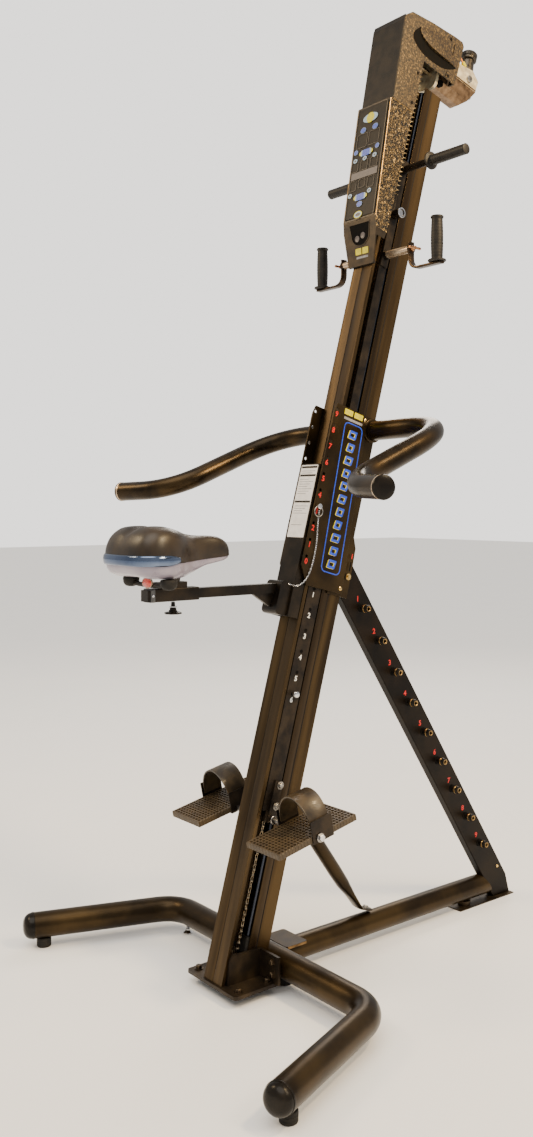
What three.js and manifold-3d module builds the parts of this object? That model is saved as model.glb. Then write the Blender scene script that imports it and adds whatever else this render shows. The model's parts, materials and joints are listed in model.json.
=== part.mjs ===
// Vertical climber machine: a leaning double-slot mast on a tube base, with pedal and hand carriages on both
// sides, a saddle on a height-adjustable post, fixed handlebars, a console and a chain-driven resistance unit.
// Millimetres, +Z up. X runs across (the user's right is +X), the user faces +Y and the floor is z = 0. The
// pieces are drawn with y = 0 where the mast's front face would meet the floor, and the whole machine is then
// moved so that the origin lies on the floor in the middle of its length.
// Pieces on the mast are drawn in the mast's own frame: x across, y the depth behind the front face and
// z the distance up the mast.
import * as THREE from 'three';
import { mergeVertices } from 'three/addons/utils/BufferGeometryUtils.js';
import Module from 'manifold-3d';

const wasm = await Module();
wasm.setup();

// ---- driving dimensions ----
const MIDDLE_Y = 402.5;                         // the middle of the machine's length, saddle tail to foot plate
const LEAN = THREE.MathUtils.degToRad(15.25);   // the mast leans its top away from the user
const GAP = 0.3;                                // between pieces that touch
const HALF_MAST = 34.5;                         // half width of the mast
const MAST_DEPTH = 115.7;
const MAST_WALL = 3;
const SLOT_FRONT = 10;                          // side slot's mouth, measured back from the front face
const SLOT_REAR = 56;
const CHAMBER_REAR = 77;                        // back wall of the chain chambers
const MAST_TOP = 2302;
const PLATE_BOTTOM = 22.2;                      // base plate above the floor
const PLATE_TOP = 30;
const TUBE_R = 31.75;                           // cross tube and rear tube, 2.5 inch
const TUBE_WALL = 2.5;
const TUBE_Z = 55;
const REAR_R = 28.6;                            // rear tube, 2.25 inch, set lower than the cross tube
const REAR_Z = 44.5;
const CROSS_Y = 160;
const CROSS_BEND_X = 374;
const LEG_END = [500, -191];
const REAR_TUBE_END = 960;
const FOOT_R = 18;
const STRUT_X = 12.7;                           // half thickness of the 1 x 3 inch rear strut
const STRUT_DEPTH = 76.2;
const STRUT_TOP = [355.5, 931.3];               // front edge of the strut, y and z at its ends
const STRUT_BOTTOM = [966, 3.5];
const PEG_COUNT = 9;
const PEG_PITCH = 102.5;
const COLLAR_IN = 38;                           // collar side plates, inner and outer x
const COLLAR_OUT = 42.5;
const COLLAR_LOW = 957;
const COLLAR_HIGH = 1406;
const HOLE_COUNT = 10;                          // seat height holes 0 to 9
const HOLE_PITCH = 40.8;
const HOLE_FIRST = 1024;
const SEAT_PIN_HOLE = 3;
const CHAIN_R = 18;                             // pitch radius of both sprockets
const CHAIN_DEPTH = 36;                         // the chain's place behind the front face
const SPROCKET_LOW = 98;
const SPROCKET_HIGH = 2372;
const ROD_X = 17;                               // guide rods
const ROD_DEPTH = 62;
const ROD_R = 8;
const AXLE_DEPTH = 40.7;                        // pedal axle
const AXLE_S = 409.6;
const PEDAL_IN = 94;
const PEDAL_OUT = 210.6;
const PEDAL_LENGTH = 228.7;
const PEDAL_THICK = 14;
const PEDAL_TILT = THREE.MathUtils.degToRad(11.9);
const STEP_PITCH = 50.8;                        // hand bar height holes 1 to 6
const FOOT_TUBE_LOW = 428;
const FOOT_TUBE_HIGH = 978;
const LOCK_S = 701;
const HAND_BAR_LOW = 690;
const HAND_BAR_HIGH = 2082;
const GRIP_PEG_S = 2057;
const SOCKET_S = 1932;
const HANDLE_PEG_S = 1821;
const PEG_DEPTH = 38;
const HANDLEBAR_R = 24.4;
const SADDLE_Y = -97;                           // saddle clamp on the seat arm
const ARM_TOP = 929;
const ARM_SIZE = 22;
const SADDLE_RISE = 27;                         // saddle shell above the arm's top
const SHELL_HEIGHT = 43;
const PAD_HEIGHT = 67;

// ---- solids ----
const machine = new THREE.Group();
const root = new THREE.Group();
const onMast = new THREE.Group();
root.position.y = -MIDDLE_Y;
onMast.rotation.x = -LEAN;
machine.add(root);
root.add(onMast);

const FINISHES = {
  black: { color: 0x1c1815, roughness: 0.42, metalness: 0.35 },
  bronze: { color: 0x3a2a1b, roughness: 0.45, metalness: 0.55 },
  hammered: { color: 0x6d5026, roughness: 0.55, metalness: 0.45 },
  rubber: { color: 0x151515, roughness: 0.85, metalness: 0 },
  tread: { color: 0x4a3720, roughness: 0.8, metalness: 0 },
  chrome: { color: 0xc8c8c8, roughness: 0.15, metalness: 1 },
  cast: { color: 0xc9b48a, roughness: 0.4, metalness: 0.9 },
  rod: { color: 0x3d4452, roughness: 0.3, metalness: 0.8 },
  vinyl: { color: 0x2b2012, roughness: 0.5, metalness: 0 },
  shell: { color: 0x9c93a6, roughness: 0.4, metalness: 0.2 },
  panel: { color: 0x33281d, roughness: 0.4, metalness: 0 },
};

function add(group, name, geometry, finish) {
  const mesh = new THREE.Mesh(geometry, new THREE.MeshStandardMaterial(FINISHES[finish]));
  mesh.name = name;
  group.add(mesh);
  return mesh;
}

function merged(geometry) {
  const bare = geometry.clone();
  bare.deleteAttribute('normal');
  bare.deleteAttribute('uv');
  return mergeVertices(bare, 1e-4);
}

function solid(geometry) {
  const closed = merged(geometry);
  return new wasm.Manifold(new wasm.Mesh({
    numProp: 3,
    vertProperties: new Float32Array(closed.attributes.position.array),
    triVerts: new Uint32Array(closed.index.array),
  }));
}

function surface(body) {
  const mesh = body.simplify(0.01).getMesh();
  const geometry = new THREE.BufferGeometry();
  geometry.setAttribute('position', new THREE.BufferAttribute(new Float32Array(mesh.vertProperties), 3));
  geometry.setIndex(new THREE.BufferAttribute(new Uint32Array(mesh.triVerts), 1));
  geometry.computeVertexNormals();
  return geometry;
}

const join = (...parts) => surface(parts.map(solid).reduce((whole, part) => whole.add(part)));
const cut = (geometry, ...tools) => surface(tools.map(solid).reduce((rest, tool) => rest.subtract(tool),
  solid(geometry)));

function block(x0, x1, y0, y1, z0, z1) {
  return new THREE.BoxGeometry(x1 - x0, y1 - y0, z1 - z0).translate((x0 + x1) / 2, (y0 + y1) / 2, (z0 + z1) / 2);
}

// A cylinder or cone from point a to point b.
function rod(a, b, radius, sides = 16, radiusEnd = radius) {
  const start = new THREE.Vector3(...a);
  const along = new THREE.Vector3(...b).sub(start);
  const geometry = new THREE.CylinderGeometry(radiusEnd, radius, along.length(), sides);
  geometry.translate(0, along.length() / 2, 0);
  geometry.applyQuaternion(new THREE.Quaternion().setFromUnitVectors(
    new THREE.Vector3(0, 1, 0), along.clone().normalize()));
  return geometry.translate(...a);
}

function outline(points, holes = []) {
  const shape = new THREE.Shape(points.map(([u, v]) => new THREE.Vector2(u, v)));
  shape.holes = holes.map((hole) => new THREE.Path(hole.map(([u, v]) => new THREE.Vector2(u, v))));
  return shape;
}

function circle(u, v, radius, sides = 12) {
  return Array.from({ length: sides }, (_, i) => {
    const turn = 2 * Math.PI * i / sides;
    return [u + radius * Math.cos(turn), v + radius * Math.sin(turn)];
  });
}

// A rectangle with round corners, as a list of points.
function rounded(u0, u1, v0, v1, radius, steps = 3) {
  const corners = [[u1 - radius, v0 + radius, -90], [u1 - radius, v1 - radius, 0],
    [u0 + radius, v1 - radius, 90], [u0 + radius, v0 + radius, 180]];
  return corners.flatMap(([u, v, from]) => Array.from({ length: steps + 1 }, (_, i) => {
    const turn = THREE.MathUtils.degToRad(from + 90 * i / steps);
    return [u + radius * Math.cos(turn), v + radius * Math.sin(turn)];
  }));
}

// A flat outline carried straight along one axis: 'z' (outline in x, y), 'x' (in y, z) or 'y' (in x, z).
function prism(shape, axis, from, to) {
  const geometry = new THREE.ExtrudeGeometry(shape, { depth: to - from, bevelEnabled: false, curveSegments: 6 });
  geometry.translate(0, 0, from);
  if (axis === 'x') geometry.applyMatrix4(new THREE.Matrix4().set(0, 0, 1, 0, 1, 0, 0, 0, 0, 1, 0, 0, 0, 0, 0, 1));
  if (axis === 'y') {
    geometry.translate(0, 0, -from - to);
    geometry.applyMatrix4(new THREE.Matrix4().set(1, 0, 0, 0, 0, 0, -1, 0, 0, 1, 0, 0, 0, 0, 0, 1));
  }
  return geometry;
}

// A pipe along straight runs joined by round bends; each bend is [corner, radius].
function pipe(start, bends, end, radius, wall, sides = 14, pitch = 26) {
  const path = new THREE.CurvePath();
  let from = new THREE.Vector3(...start);
  bends.forEach(([corner, bendRadius], i) => {
    const at = new THREE.Vector3(...corner);
    const next = new THREE.Vector3(...(i + 1 < bends.length ? bends[i + 1][0] : end));
    const back = from.clone().sub(at).normalize();
    const ahead = next.clone().sub(at).normalize();
    const reach = bendRadius * Math.tan((Math.PI - back.angleTo(ahead)) / 2);
    const inward = at.clone().addScaledVector(back, reach);
    const outward = at.clone().addScaledVector(ahead, reach);
    path.add(new THREE.LineCurve3(from, inward));
    path.add(new THREE.QuadraticBezierCurve3(inward, at, outward));
    from = outward;
  });
  path.add(new THREE.LineCurve3(from, new THREE.Vector3(...end)));
  const ring = outline(circle(0, 0, radius, sides), wall ? [circle(0, 0, radius - wall, sides)] : []);
  return new THREE.ExtrudeGeometry(ring, { extrudePath: path, steps: Math.ceil(path.getLength() / pitch) });
}

function mirrored(geometry) {
  const copy = merged(geometry);
  copy.scale(-1, 1, 1);
  const index = copy.index.array;
  for (let i = 0; i < index.length; i += 3) [index[i], index[i + 1]] = [index[i + 1], index[i]];
  copy.computeVertexNormals();
  return copy;
}

// One piece on each side: the right one as drawn, the left one its mirror image.
function pair(group, name, geometry, finish) {
  add(group, `${name}_right`, geometry, finish);
  add(group, `${name}_left`, mirrored(geometry), finish);
}

const sin = Math.sin(LEAN);
const cos = Math.cos(LEAN);
const toWorld = (depth, s) => [depth * cos + s * sin, -depth * sin + s * cos];
const level = (geometry) => geometry.applyMatrix4(new THREE.Matrix4().makeRotationX(LEAN));

// ---- base ----
// Base plate with the shoe that grips the mast's sides and two upright angle legs that bolt to the cross tube.
add(root, 'base_plate', join(
  prism(outline(rounded(-96, 96, 2, 126.5, 8)), 'z', PLATE_BOTTOM, PLATE_TOP),
  prism(outline([[22, PLATE_TOP - 2], [118, PLATE_TOP - 2], [118, 92], [46, 96], [38, 100], [28, 84]]), 'x',
    HALF_MAST + GAP, HALF_MAST + 7),
  prism(outline([[22, PLATE_TOP - 2], [118, PLATE_TOP - 2], [118, 92], [46, 96], [38, 100], [28, 84]]), 'x',
    -HALF_MAST - 7, -HALF_MAST - GAP),
  block(HALF_MAST + 3, 108, 113, 120, PLATE_TOP - 2, 92),
  block(-108, -HALF_MAST - 3, 113, 120, PLATE_TOP - 2, 92),
  ...[-78, 78].flatMap((x) => [24, 106].map((y) => rod([x, y, PLATE_TOP - 2], [x, y, PLATE_TOP + 4], 6, 6)))),
'black');

const crossFull = pipe([LEG_END[0], LEG_END[1], TUBE_Z], [[[CROSS_BEND_X, CROSS_Y, TUBE_Z], 90],
  [[-CROSS_BEND_X, CROSS_Y, TUBE_Z], 90]], [-LEG_END[0], LEG_END[1], TUBE_Z], TUBE_R, TUBE_WALL, 12, 40);
const leverHole = (x) => rod([x, CROSS_Y, 15], [x, CROSS_Y, 45], 6, 8);

const legAim = new THREE.Vector3(LEG_END[0] - CROSS_BEND_X, LEG_END[1] - CROSS_Y, 0).normalize();
function domeCap() {
  const profile = [[0, -6], [26, -6], [26, -1], [TUBE_R, -1], [TUBE_R - 1, 9], [TUBE_R * 0.8, 18],
    [TUBE_R * 0.5, 23.5], [0, 26]].map(([r, y]) => new THREE.Vector2(r, y));
  const cap = new THREE.LatheGeometry(profile, 14);
  cap.applyQuaternion(new THREE.Quaternion().setFromUnitVectors(new THREE.Vector3(0, 1, 0), legAim));
  return cap.translate(LEG_END[0], LEG_END[1], TUBE_Z);
}
add(root, 'cross_tube', cut(join(crossFull, domeCap(), mirrored(domeCap())), leverHole(-329), leverHole(329)),
  'black');

// Rear tube, coped to the cross tube and cut to the strut's slope, with the gusset welded over the joint.
const strutAim = new THREE.Vector2(STRUT_BOTTOM[0] - STRUT_TOP[0], STRUT_BOTTOM[1] - STRUT_TOP[1]).normalize();
const strutRear = new THREE.Vector2(-strutAim.y, strutAim.x);
const onStrut = (along, across) => [STRUT_TOP[0] + strutAim.x * along + strutRear.x * across,
  STRUT_TOP[1] + strutAim.y * along + strutRear.y * across];
const strutLength = Math.hypot(STRUT_BOTTOM[0] - STRUT_TOP[0], STRUT_BOTTOM[1] - STRUT_TOP[1]);
const strutSide = prism(outline([onStrut(200, -GAP), onStrut(strutLength + 200, -GAP),
  onStrut(strutLength + 200, 200), onStrut(200, 200)]), 'x', -200, 200);
const rearPipe = prism(outline(circle(0, 0, REAR_R, 16), [circle(0, 0, REAR_R - TUBE_WALL, 16)]), 'y',
  CROSS_Y, REAR_TUBE_END).translate(0, 0, REAR_Z);
const crossKeepOut = rod([-200, CROSS_Y, TUBE_Z], [200, CROSS_Y, TUBE_Z], TUBE_R + GAP, 28);
const gusset = block(-46, 46, CROSS_Y + 6, CROSS_Y + 92, REAR_Z + REAR_R - 3, REAR_Z + REAR_R + 3);
const rearTube = cut(rearPipe, strutSide, crossKeepOut);
add(root, 'rear_tube', surface(solid(rearTube).add(solid(gusset).subtract(solid(crossKeepOut)))), 'black');

const footShape = (height) => [[0, 0], [FOOT_R - 2, 0], [FOOT_R, 2], [FOOT_R, height], [0, height]]
  .map(([r, y]) => new THREE.Vector2(r, y));
function foot(x, y, z, top) {
  const geometry = new THREE.LatheGeometry(footShape(top - z), 14);
  return geometry.rotateX(Math.PI / 2).translate(x, y, z);
}
const tubeUnder = TUBE_Z - TUBE_R - GAP;
pair(root, 'leg_foot', foot(492.5, -166, 0, tubeUnder), 'rubber');
add(root, 'centre_foot', foot(56, CROSS_Y + 14, 0, tubeUnder), 'rubber');
add(root, 'rear_foot_plate', join(block(-27, 27, 814, 1040, 0, 3), foot(0, 858, 2, REAR_Z - REAR_R - GAP)), 'bronze');
const levellerProfile = [[0, 0], [12, 0], [13, 1.5], [9, 6], [4.5, 9], [4.5, 44], [0, 44]]
  .map(([r, y]) => new THREE.Vector2(r, y));
pair(root, 'leveller', new THREE.LatheGeometry(levellerProfile, 14).rotateX(Math.PI / 2)
  .translate(329, CROSS_Y, 0), 'chrome');

// Lower brace: a tube from the back of the mast down to the rear tube, flattened at its foot.
const BRACE_HEAD = [238, 398];
const BRACE_FOOT = [446, 104];
const BRACE_R = 17;
const mastBack = level(block(-100, 100, -50, MAST_DEPTH + GAP, -100, 1500));
mastBack.applyMatrix4(new THREE.Matrix4().makeRotationX(-2 * LEAN));
add(root, 'lower_brace', cut(join(
  rod([0, BRACE_HEAD[0] - 20, BRACE_HEAD[1] + 28.3], [0, BRACE_FOOT[0], BRACE_FOOT[1]], BRACE_R, 14),
  prism(outline([[BRACE_FOOT[0] - 13, BRACE_FOOT[1] + 11], [BRACE_FOOT[0] + 18, REAR_Z + REAR_R + GAP],
    [BRACE_FOOT[0] + 58, REAR_Z + REAR_R + GAP], [BRACE_FOOT[0] + 58, REAR_Z + REAR_R + 7],
    [BRACE_FOOT[0] + 36, REAR_Z + REAR_R + 8], [BRACE_FOOT[0] + 12, BRACE_FOOT[1] + 12]]), 'x', -19, 19),
  rod([0, BRACE_FOOT[0] + 44, REAR_Z + REAR_R + 5], [0, BRACE_FOOT[0] + 44, REAR_Z + REAR_R + 13], 8, 6)),
mastBack), 'black');

// ---- mast and chain drive ----
const halfSection = [[1.2, 0], [HALF_MAST, 0], [HALF_MAST, SLOT_FRONT], [HALF_MAST - MAST_WALL, SLOT_FRONT],
  [HALF_MAST - MAST_WALL, MAST_WALL], [MAST_WALL, MAST_WALL], [MAST_WALL, CHAMBER_REAR],
  [HALF_MAST - MAST_WALL, CHAMBER_REAR], [HALF_MAST - MAST_WALL, SLOT_REAR], [HALF_MAST, SLOT_REAR],
  [HALF_MAST, CHAMBER_REAR + 0.5], [HALF_MAST - 1.2, CHAMBER_REAR + 1.5], [HALF_MAST, CHAMBER_REAR + 2.5],
  [HALF_MAST, MAST_DEPTH]];
const mastSection = outline([[0, 1.2], ...halfSection, ...halfSection.toReversed().map(([x, y]) => [-x, y])],
  [[[-31.5, 80], [31.5, 80], [31.5, MAST_DEPTH - MAST_WALL], [-31.5, MAST_DEPTH - MAST_WALL]]]);
const floorCut = level(block(-60, 60, -60, 200, -60, PLATE_TOP + GAP));
const crossInMast = level(rod([-60, CROSS_Y, TUBE_Z], [60, CROSS_Y, TUBE_Z], TUBE_R + GAP, 28));
add(onMast, 'mast', cut(prism(mastSection, 'z', 20, MAST_TOP), floorCut, crossInMast,
  block(-4, 4, 28, 46, SPROCKET_LOW - 26, SPROCKET_LOW + 26)), 'bronze');

function stadium(radius, low, high, sides = 10) {
  const arc = (centre, from) => Array.from({ length: sides + 1 }, (_, i) => {
    const turn = from + Math.PI * i / sides;
    return [radius * Math.cos(turn), centre + radius * Math.sin(turn)];
  });
  return [...arc(high, 0), ...arc(low, Math.PI)];
}
add(onMast, 'chain', prism(outline(stadium(CHAIN_R + 3.6, SPROCKET_LOW, SPROCKET_HIGH),
  [stadium(CHAIN_R - 3.6, SPROCKET_LOW, SPROCKET_HIGH)]), 'y', CHAIN_DEPTH - 3.5, CHAIN_DEPTH + 3.5), 'rod');
function sprocket(s, rearEnd) {
  return join(rod([0, CHAIN_DEPTH - 3, s], [0, CHAIN_DEPTH + 3, s], CHAIN_R - 4.2, 18),
    rod([0, CHAIN_DEPTH - 6, s], [0, rearEnd, s], 5, 12));
}
add(onMast, 'top_sprocket', sprocket(SPROCKET_HIGH, 84), 'chrome');
add(onMast, 'bottom_sprocket', sprocket(SPROCKET_LOW, CHAIN_DEPTH + 7), 'chrome');

// Guide rod and, round its foot, the rubber stop that ends the pedal's travel.
pair(onMast, 'guide_rod', join(
  rod([ROD_X, ROD_DEPTH, 108], [ROD_X, ROD_DEPTH, MAST_TOP - 10], ROD_R, 12),
  block(MAST_WALL + 2, HALF_MAST - MAST_WALL - GAP, ROD_DEPTH - 13, CHAMBER_REAR - GAP, 104, 140)), 'rod');

// ---- collar, rear channel, strut and handlebars ----
const holeS = (i) => HOLE_FIRST + HOLE_PITCH * i;
const collarEdge = [[-29, COLLAR_LOW + 43], [-3.3, COLLAR_LOW], [113.4, COLLAR_LOW + 3], [80.5, COLLAR_HIGH],
  [-22.5, COLLAR_HIGH], [-28.4, COLLAR_HIGH - 22]];
const holes = Array.from({ length: HOLE_COUNT }, (_, i) => circle(-20, holeS(i), 4.2, 8));
pair(onMast, 'collar_plate', prism(outline(collarEdge, holes), 'x', COLLAR_IN, COLLAR_OUT), 'black');

// The channel that wraps the back of the mast; its lower ears hold the strut's bolt.
const flange = [[70, COLLAR_LOW - 4], [136, COLLAR_LOW - 4], [134.6, 1028], [132.7, 1079], [120, 1105],
  [120, COLLAR_HIGH], [70, COLLAR_HIGH]];
const strutBolt = [122, 1005.5];
add(onMast, 'rear_channel', cut(join(
  prism(outline(flange), 'x', HALF_MAST + GAP, COLLAR_IN - GAP),
  prism(outline(flange), 'x', -COLLAR_IN + GAP, -HALF_MAST - GAP),
  block(-HALF_MAST - 1, HALF_MAST + 1, MAST_DEPTH + GAP, 120, 1100, COLLAR_HIGH)),
rod([-60, ...strutBolt], [60, ...strutBolt], 6, 12)), 'black');
const boltWorld = toWorld(...strutBolt);
const pegAlong = (i) => 118 + PEG_PITCH * i;
const strutOutline = outline([onStrut(-30, 6), onStrut(strutLength, 0),
  [onStrut(strutLength, 0)[0] + 66, STRUT_BOTTOM[1]], onStrut(strutLength - 34, STRUT_DEPTH),
  onStrut(-70, STRUT_DEPTH)]);
const pegs = Array.from({ length: PEG_COUNT }, (_, i) => onStrut(pegAlong(i), 40))
  .map(([y, z]) => join(rod([STRUT_X - 1, y, z], [STRUT_X + 21, y, z], 4, 8),
    rod([STRUT_X + 9, y, z], [STRUT_X + 29, y, z], 9.5, 8)));
const strutWorld = join(prism(strutOutline, 'x', -STRUT_X, STRUT_X), ...pegs);
const channelClear = level(block(-60, 60, -40, 120 + GAP, 900, 1500));
channelClear.applyMatrix4(new THREE.Matrix4().makeRotationX(-2 * LEAN));
add(root, 'rear_strut', cut(strutWorld, channelClear,
  rod([-60, ...boltWorld], [60, ...boltWorld], 6, 12), block(-40, 40, 900, 1200, -60, STRUT_BOTTOM[1])), 'black');

const BAR_ROOT = [47, 466, 1300];
const BAR_CORNER = [322, 465, 1304];
const BAR_ELBOW = [333, 113, 1154.5];
const BAR_END = [497, 62, 1149];
pair(root, 'handlebar', pipe(BAR_ROOT, [[BAR_CORNER, 165], [BAR_ELBOW, 145]], BAR_END, HANDLEBAR_R, 2.5, 12, 30),
  'black');
const barAim = new THREE.Vector3(...BAR_END).sub(new THREE.Vector3(...BAR_ELBOW)).normalize();
const barCapEnd = new THREE.Vector3(...BAR_END).addScaledVector(barAim, 8).toArray();
const barCapIn = new THREE.Vector3(...BAR_END).addScaledVector(barAim, -24).toArray();
const barCapFace = new THREE.Vector3(...BAR_END).addScaledVector(barAim, 1).toArray();
pair(root, 'handlebar_cap', join(rod(barCapFace, barCapEnd, HANDLEBAR_R + 0.4, 16, HANDLEBAR_R - 2),
  rod(barCapIn, barCapEnd, HANDLEBAR_R - 3.5, 16)), 'black');

// ---- head: cap, console and resistance unit ----
const HEAD_X = 57;
const headOuter = [[-64, 2200], [-82, 2420], [-72, 2430], [-56, 2446], [16, 2459], [106, 2470], [132, 2471],
  [140, 2462], [134, 2345], [14, 2345], [14, 2200]];
const headInner = [[-90, 2190], [-90, 2420], [-54, 2440], [16, 2454], [130, 2465], [128.5, 2335], [24, 2335], [24, 2190]];
const frontFace = [[-120, 2100], [-120, 2500], [-82.9, 2500], [-52.4, 2100]];
const headShell = cut(prism(outline(headOuter), 'x', -HEAD_X, HEAD_X),
  prism(outline(headInner), 'x', -HEAD_X + 3, HEAD_X - 3), prism(outline(frontFace), 'x', -HEAD_X - 5, HEAD_X + 5),
  block(-36, 36, 100, 160, 2300, 2440));
add(onMast, 'head_casing', headShell, 'hammered');
add(onMast, 'head_front_cover', prism(outline([[-64, 2200], [-80, 2412], [-78, 2427], [-77.6 - GAP, 2427],
  [-60 - GAP, 2200]]), 'x', -HEAD_X, HEAD_X), 'panel');

const CONSOLE_X = 60;
const consoleSide = [[-72, 2197], [-42, 1888], [-7, 1780], [-1, 1780], [6, 1900], [8, 2197]];
const consoleBody = cut(prism(outline(consoleSide), 'x', -CONSOLE_X, CONSOLE_X),
  prism(outline([[-67, 2190], [-37, 1890], [-8, 1792], [-1, 1785], [12, 1785], [12, 2190]]), 'x',
    -CONSOLE_X + 3, CONSOLE_X - 3),
  block(-HALF_MAST - GAP, HALF_MAST + GAP, -GAP, 40, 1700, 2300),
  prism(outline([[44, 1770], [80, 1770], [80, 1880], [63, 1880]]), 'y', -80, 30),
  prism(outline([[-63, 1880], [-80, 1880], [-80, 1770], [-44, 1770]]), 'y', -80, 30));
add(onMast, 'console_housing', consoleBody, 'hammered');
const panelFace = (s) => -72 + 30 * (2197 - s) / 309 - GAP;
add(onMast, 'console_panel', prism(outline([[panelFace(2190), 2190], [panelFace(2190) - 1.8, 2190],
  [panelFace(1896) - 1.8, 1896], [panelFace(1896), 1896]]), 'x', -55, 55), 'panel');

const UNIT_X = 30;                              // half width of the unit's cast body
const KNOB_DEPTH = 217;
const KNOB_LOW = 2484;
const unitFace = outline([[UNIT_X, 2350], [UNIT_X, 2425], [22, 2449], [-22, 2449], [-UNIT_X, 2425], [-UNIT_X, 2350],
  [-14, 2334], [14, 2334]].toReversed());
const unitSide = [[92, 2326], [185, 2328], [198, 2334], [213, 2350], [238, 2392], [241, 2423], [222, 2449],
  [149, 2434], [92, 2428]];
const unitBody = surface(solid(prism(outline(unitSide), 'x', -UNIT_X, UNIT_X))
  .intersect(solid(prism(unitFace, 'y', 84, 260))));
add(onMast, 'resistance_unit', join(unitBody,
  prism(outline(rounded(-UNIT_X - 2, UNIT_X + 4, 2322, 2432, 14)), 'y', 84 + GAP, 93),
  rod([0, KNOB_DEPTH, 2430], [0, KNOB_DEPTH, KNOB_LOW], 21, 14, 17)), 'cast');
add(onMast, 'resistance_knob', rod([0, KNOB_DEPTH, KNOB_LOW + GAP], [0, KNOB_DEPTH, KNOB_LOW + 23], 23, 18),
  'black');

// ---- climbing side: foot carriage, pedal and hand bar ----
// Foot carriage: a block that runs on the guide rod, the long tube that holds the hand bar, and the axle plate.
const carriageSection = outline([[5, 6], [23, 6], [23, 30], [12, 30], [12, 42], [23, 42], [23, 52.5],
  [ROD_X + 5.6, ROD_DEPTH - 9], [ROD_X - 5.6, ROD_DEPTH - 9], [ROD_X - 8.8, ROD_DEPTH - 3],
  [ROD_X - 9.2, 75], [5, 75]]);
const tubeRing = outline([[24, 13], [34, 13], [34, 53], [24, 53]], [[[25.5, 25], [32.5, 25], [32.5, 51], [25.5, 51]]]);
const stepHoles = Array.from({ length: 6 }, (_, i) => rod([30, 31, LOCK_S + STEP_PITCH * i],
  [36, 31, LOCK_S + STEP_PITCH * i], 4, 8));
pair(onMast, 'foot_carriage', surface([
  solid(prism(carriageSection, 'z', 401, 500)),
  solid(block(22.5, 36, 24, 53.5, 401, 427)),
  solid(block(34 - 0.5, 40, 30, 53.5, 401, 498)),
  solid(rod([22.5, 46, 440], [44, 46, 440], 4.5, 8)),
  solid(rod([33, 46, 488], [44, 46, 488], 4.5, 8)),
].reduce((whole, part) => whole.add(part), solid(cut(prism(tubeRing, 'z', FOOT_TUBE_LOW - 2, FOOT_TUBE_HIGH),
  ...stepHoles)))), 'black');
pair(onMast, 'lock_pin', join(rod([34.4, 31, LOCK_S], [46, 31, LOCK_S], 3.4, 10),
  rod([45, 31, LOCK_S], [52, 31, LOCK_S], 7, 14)), 'chrome');
pair(onMast, 'pedal_axle', join(rod([40 + GAP, AXLE_DEPTH, AXLE_S], [PEDAL_IN - 6, AXLE_DEPTH, AXLE_S], 9, 14),
  rod([PEDAL_IN - 8, AXLE_DEPTH, AXLE_S], [PEDAL_OUT + 4, AXLE_DEPTH, AXLE_S], 4.4, 12),
  rod([PEDAL_OUT + 3.5, AXLE_DEPTH, AXLE_S], [PEDAL_OUT + 12, AXLE_DEPTH, AXLE_S], 7.5, 6)), 'chrome');

const axleWorld = toWorld(AXLE_DEPTH, AXLE_S);
const tilt = (geometry) => geometry.applyMatrix4(new THREE.Matrix4().makeRotationX(PEDAL_TILT))
  .translate(0, ...axleWorld);
const bore = rod([60, 0, 0], [240, 0, 0], 4.6, 12);
pair(root, 'pedal', tilt(cut(block(PEDAL_IN, PEDAL_OUT, -PEDAL_LENGTH / 2, PEDAL_LENGTH / 2,
  -PEDAL_THICK / 2, PEDAL_THICK / 2), bore)), 'tread');
const strapPlate = outline([[-20, -10], [40, -10], [40, 42], [-20, 42]]);
pair(root, 'strap_cradle', tilt(cut(join(prism(strapPlate, 'x', PEDAL_OUT + GAP, PEDAL_OUT + 3),
  prism(strapPlate, 'x', PEDAL_IN - 3, PEDAL_IN - GAP),
  block(PEDAL_IN - 3, PEDAL_OUT + 3, -20, 40, -PEDAL_THICK / 2 - 3, -PEDAL_THICK / 2 - GAP)), bore)), 'black');
const strapMiddle = (PEDAL_IN + PEDAL_OUT) / 2;
const strapHalf = PEDAL_OUT - strapMiddle;
function strapArc(inset) {
  const rise = 88 - inset;
  return Array.from({ length: 13 }, (_, i) => {
    const turn = Math.PI * i / 12;
    return [strapMiddle + (strapHalf - GAP - inset) * Math.cos(turn), 14 + (rise - 14) * Math.sin(turn)];
  });
}
pair(root, 'toe_strap', tilt(prism(outline([...strapArc(0.3), ...strapArc(4).toReversed()]), 'y', -19, 39)), 'rubber');

// Hand bar with its round sockets; the lower pegs carry the turning handles.
const socketStub = (s, end) => rod([32, PEG_DEPTH, s], [end, PEG_DEPTH, s], 12, 14);
pair(onMast, 'hand_bar', cut(join(
  prism(outline([[26, 26], [32, 26], [32, 50], [26, 50]]), 'z', HAND_BAR_LOW, HAND_BAR_HIGH),
  block(31.5, 36, 26, 50, 1790, HAND_BAR_HIGH),
  socketStub(GRIP_PEG_S, 44), rod([40, PEG_DEPTH, GRIP_PEG_S], [128, PEG_DEPTH, GRIP_PEG_S], 9, 12),
  rod([126, PEG_DEPTH, GRIP_PEG_S], [244, PEG_DEPTH, GRIP_PEG_S], 7, 12),
  socketStub(SOCKET_S, 62), socketStub(HANDLE_PEG_S, 44),
  rod([40, PEG_DEPTH, HANDLE_PEG_S], [120, PEG_DEPTH, HANDLE_PEG_S], 9.5, 14)),
rod([40, PEG_DEPTH, SOCKET_S], [70, PEG_DEPTH, SOCKET_S], 8.5, 14)), 'black');
pair(onMast, 'upper_grip', cut(join(
  rod([130, PEG_DEPTH, GRIP_PEG_S], [246, PEG_DEPTH, GRIP_PEG_S], 13.5, 14),
  rod([128.5, PEG_DEPTH, GRIP_PEG_S], [134, PEG_DEPTH, GRIP_PEG_S], 22, 16)),
rod([120, PEG_DEPTH, GRIP_PEG_S], [244 + GAP, PEG_DEPTH, GRIP_PEG_S], 7 + GAP, 12)), 'rubber');

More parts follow.
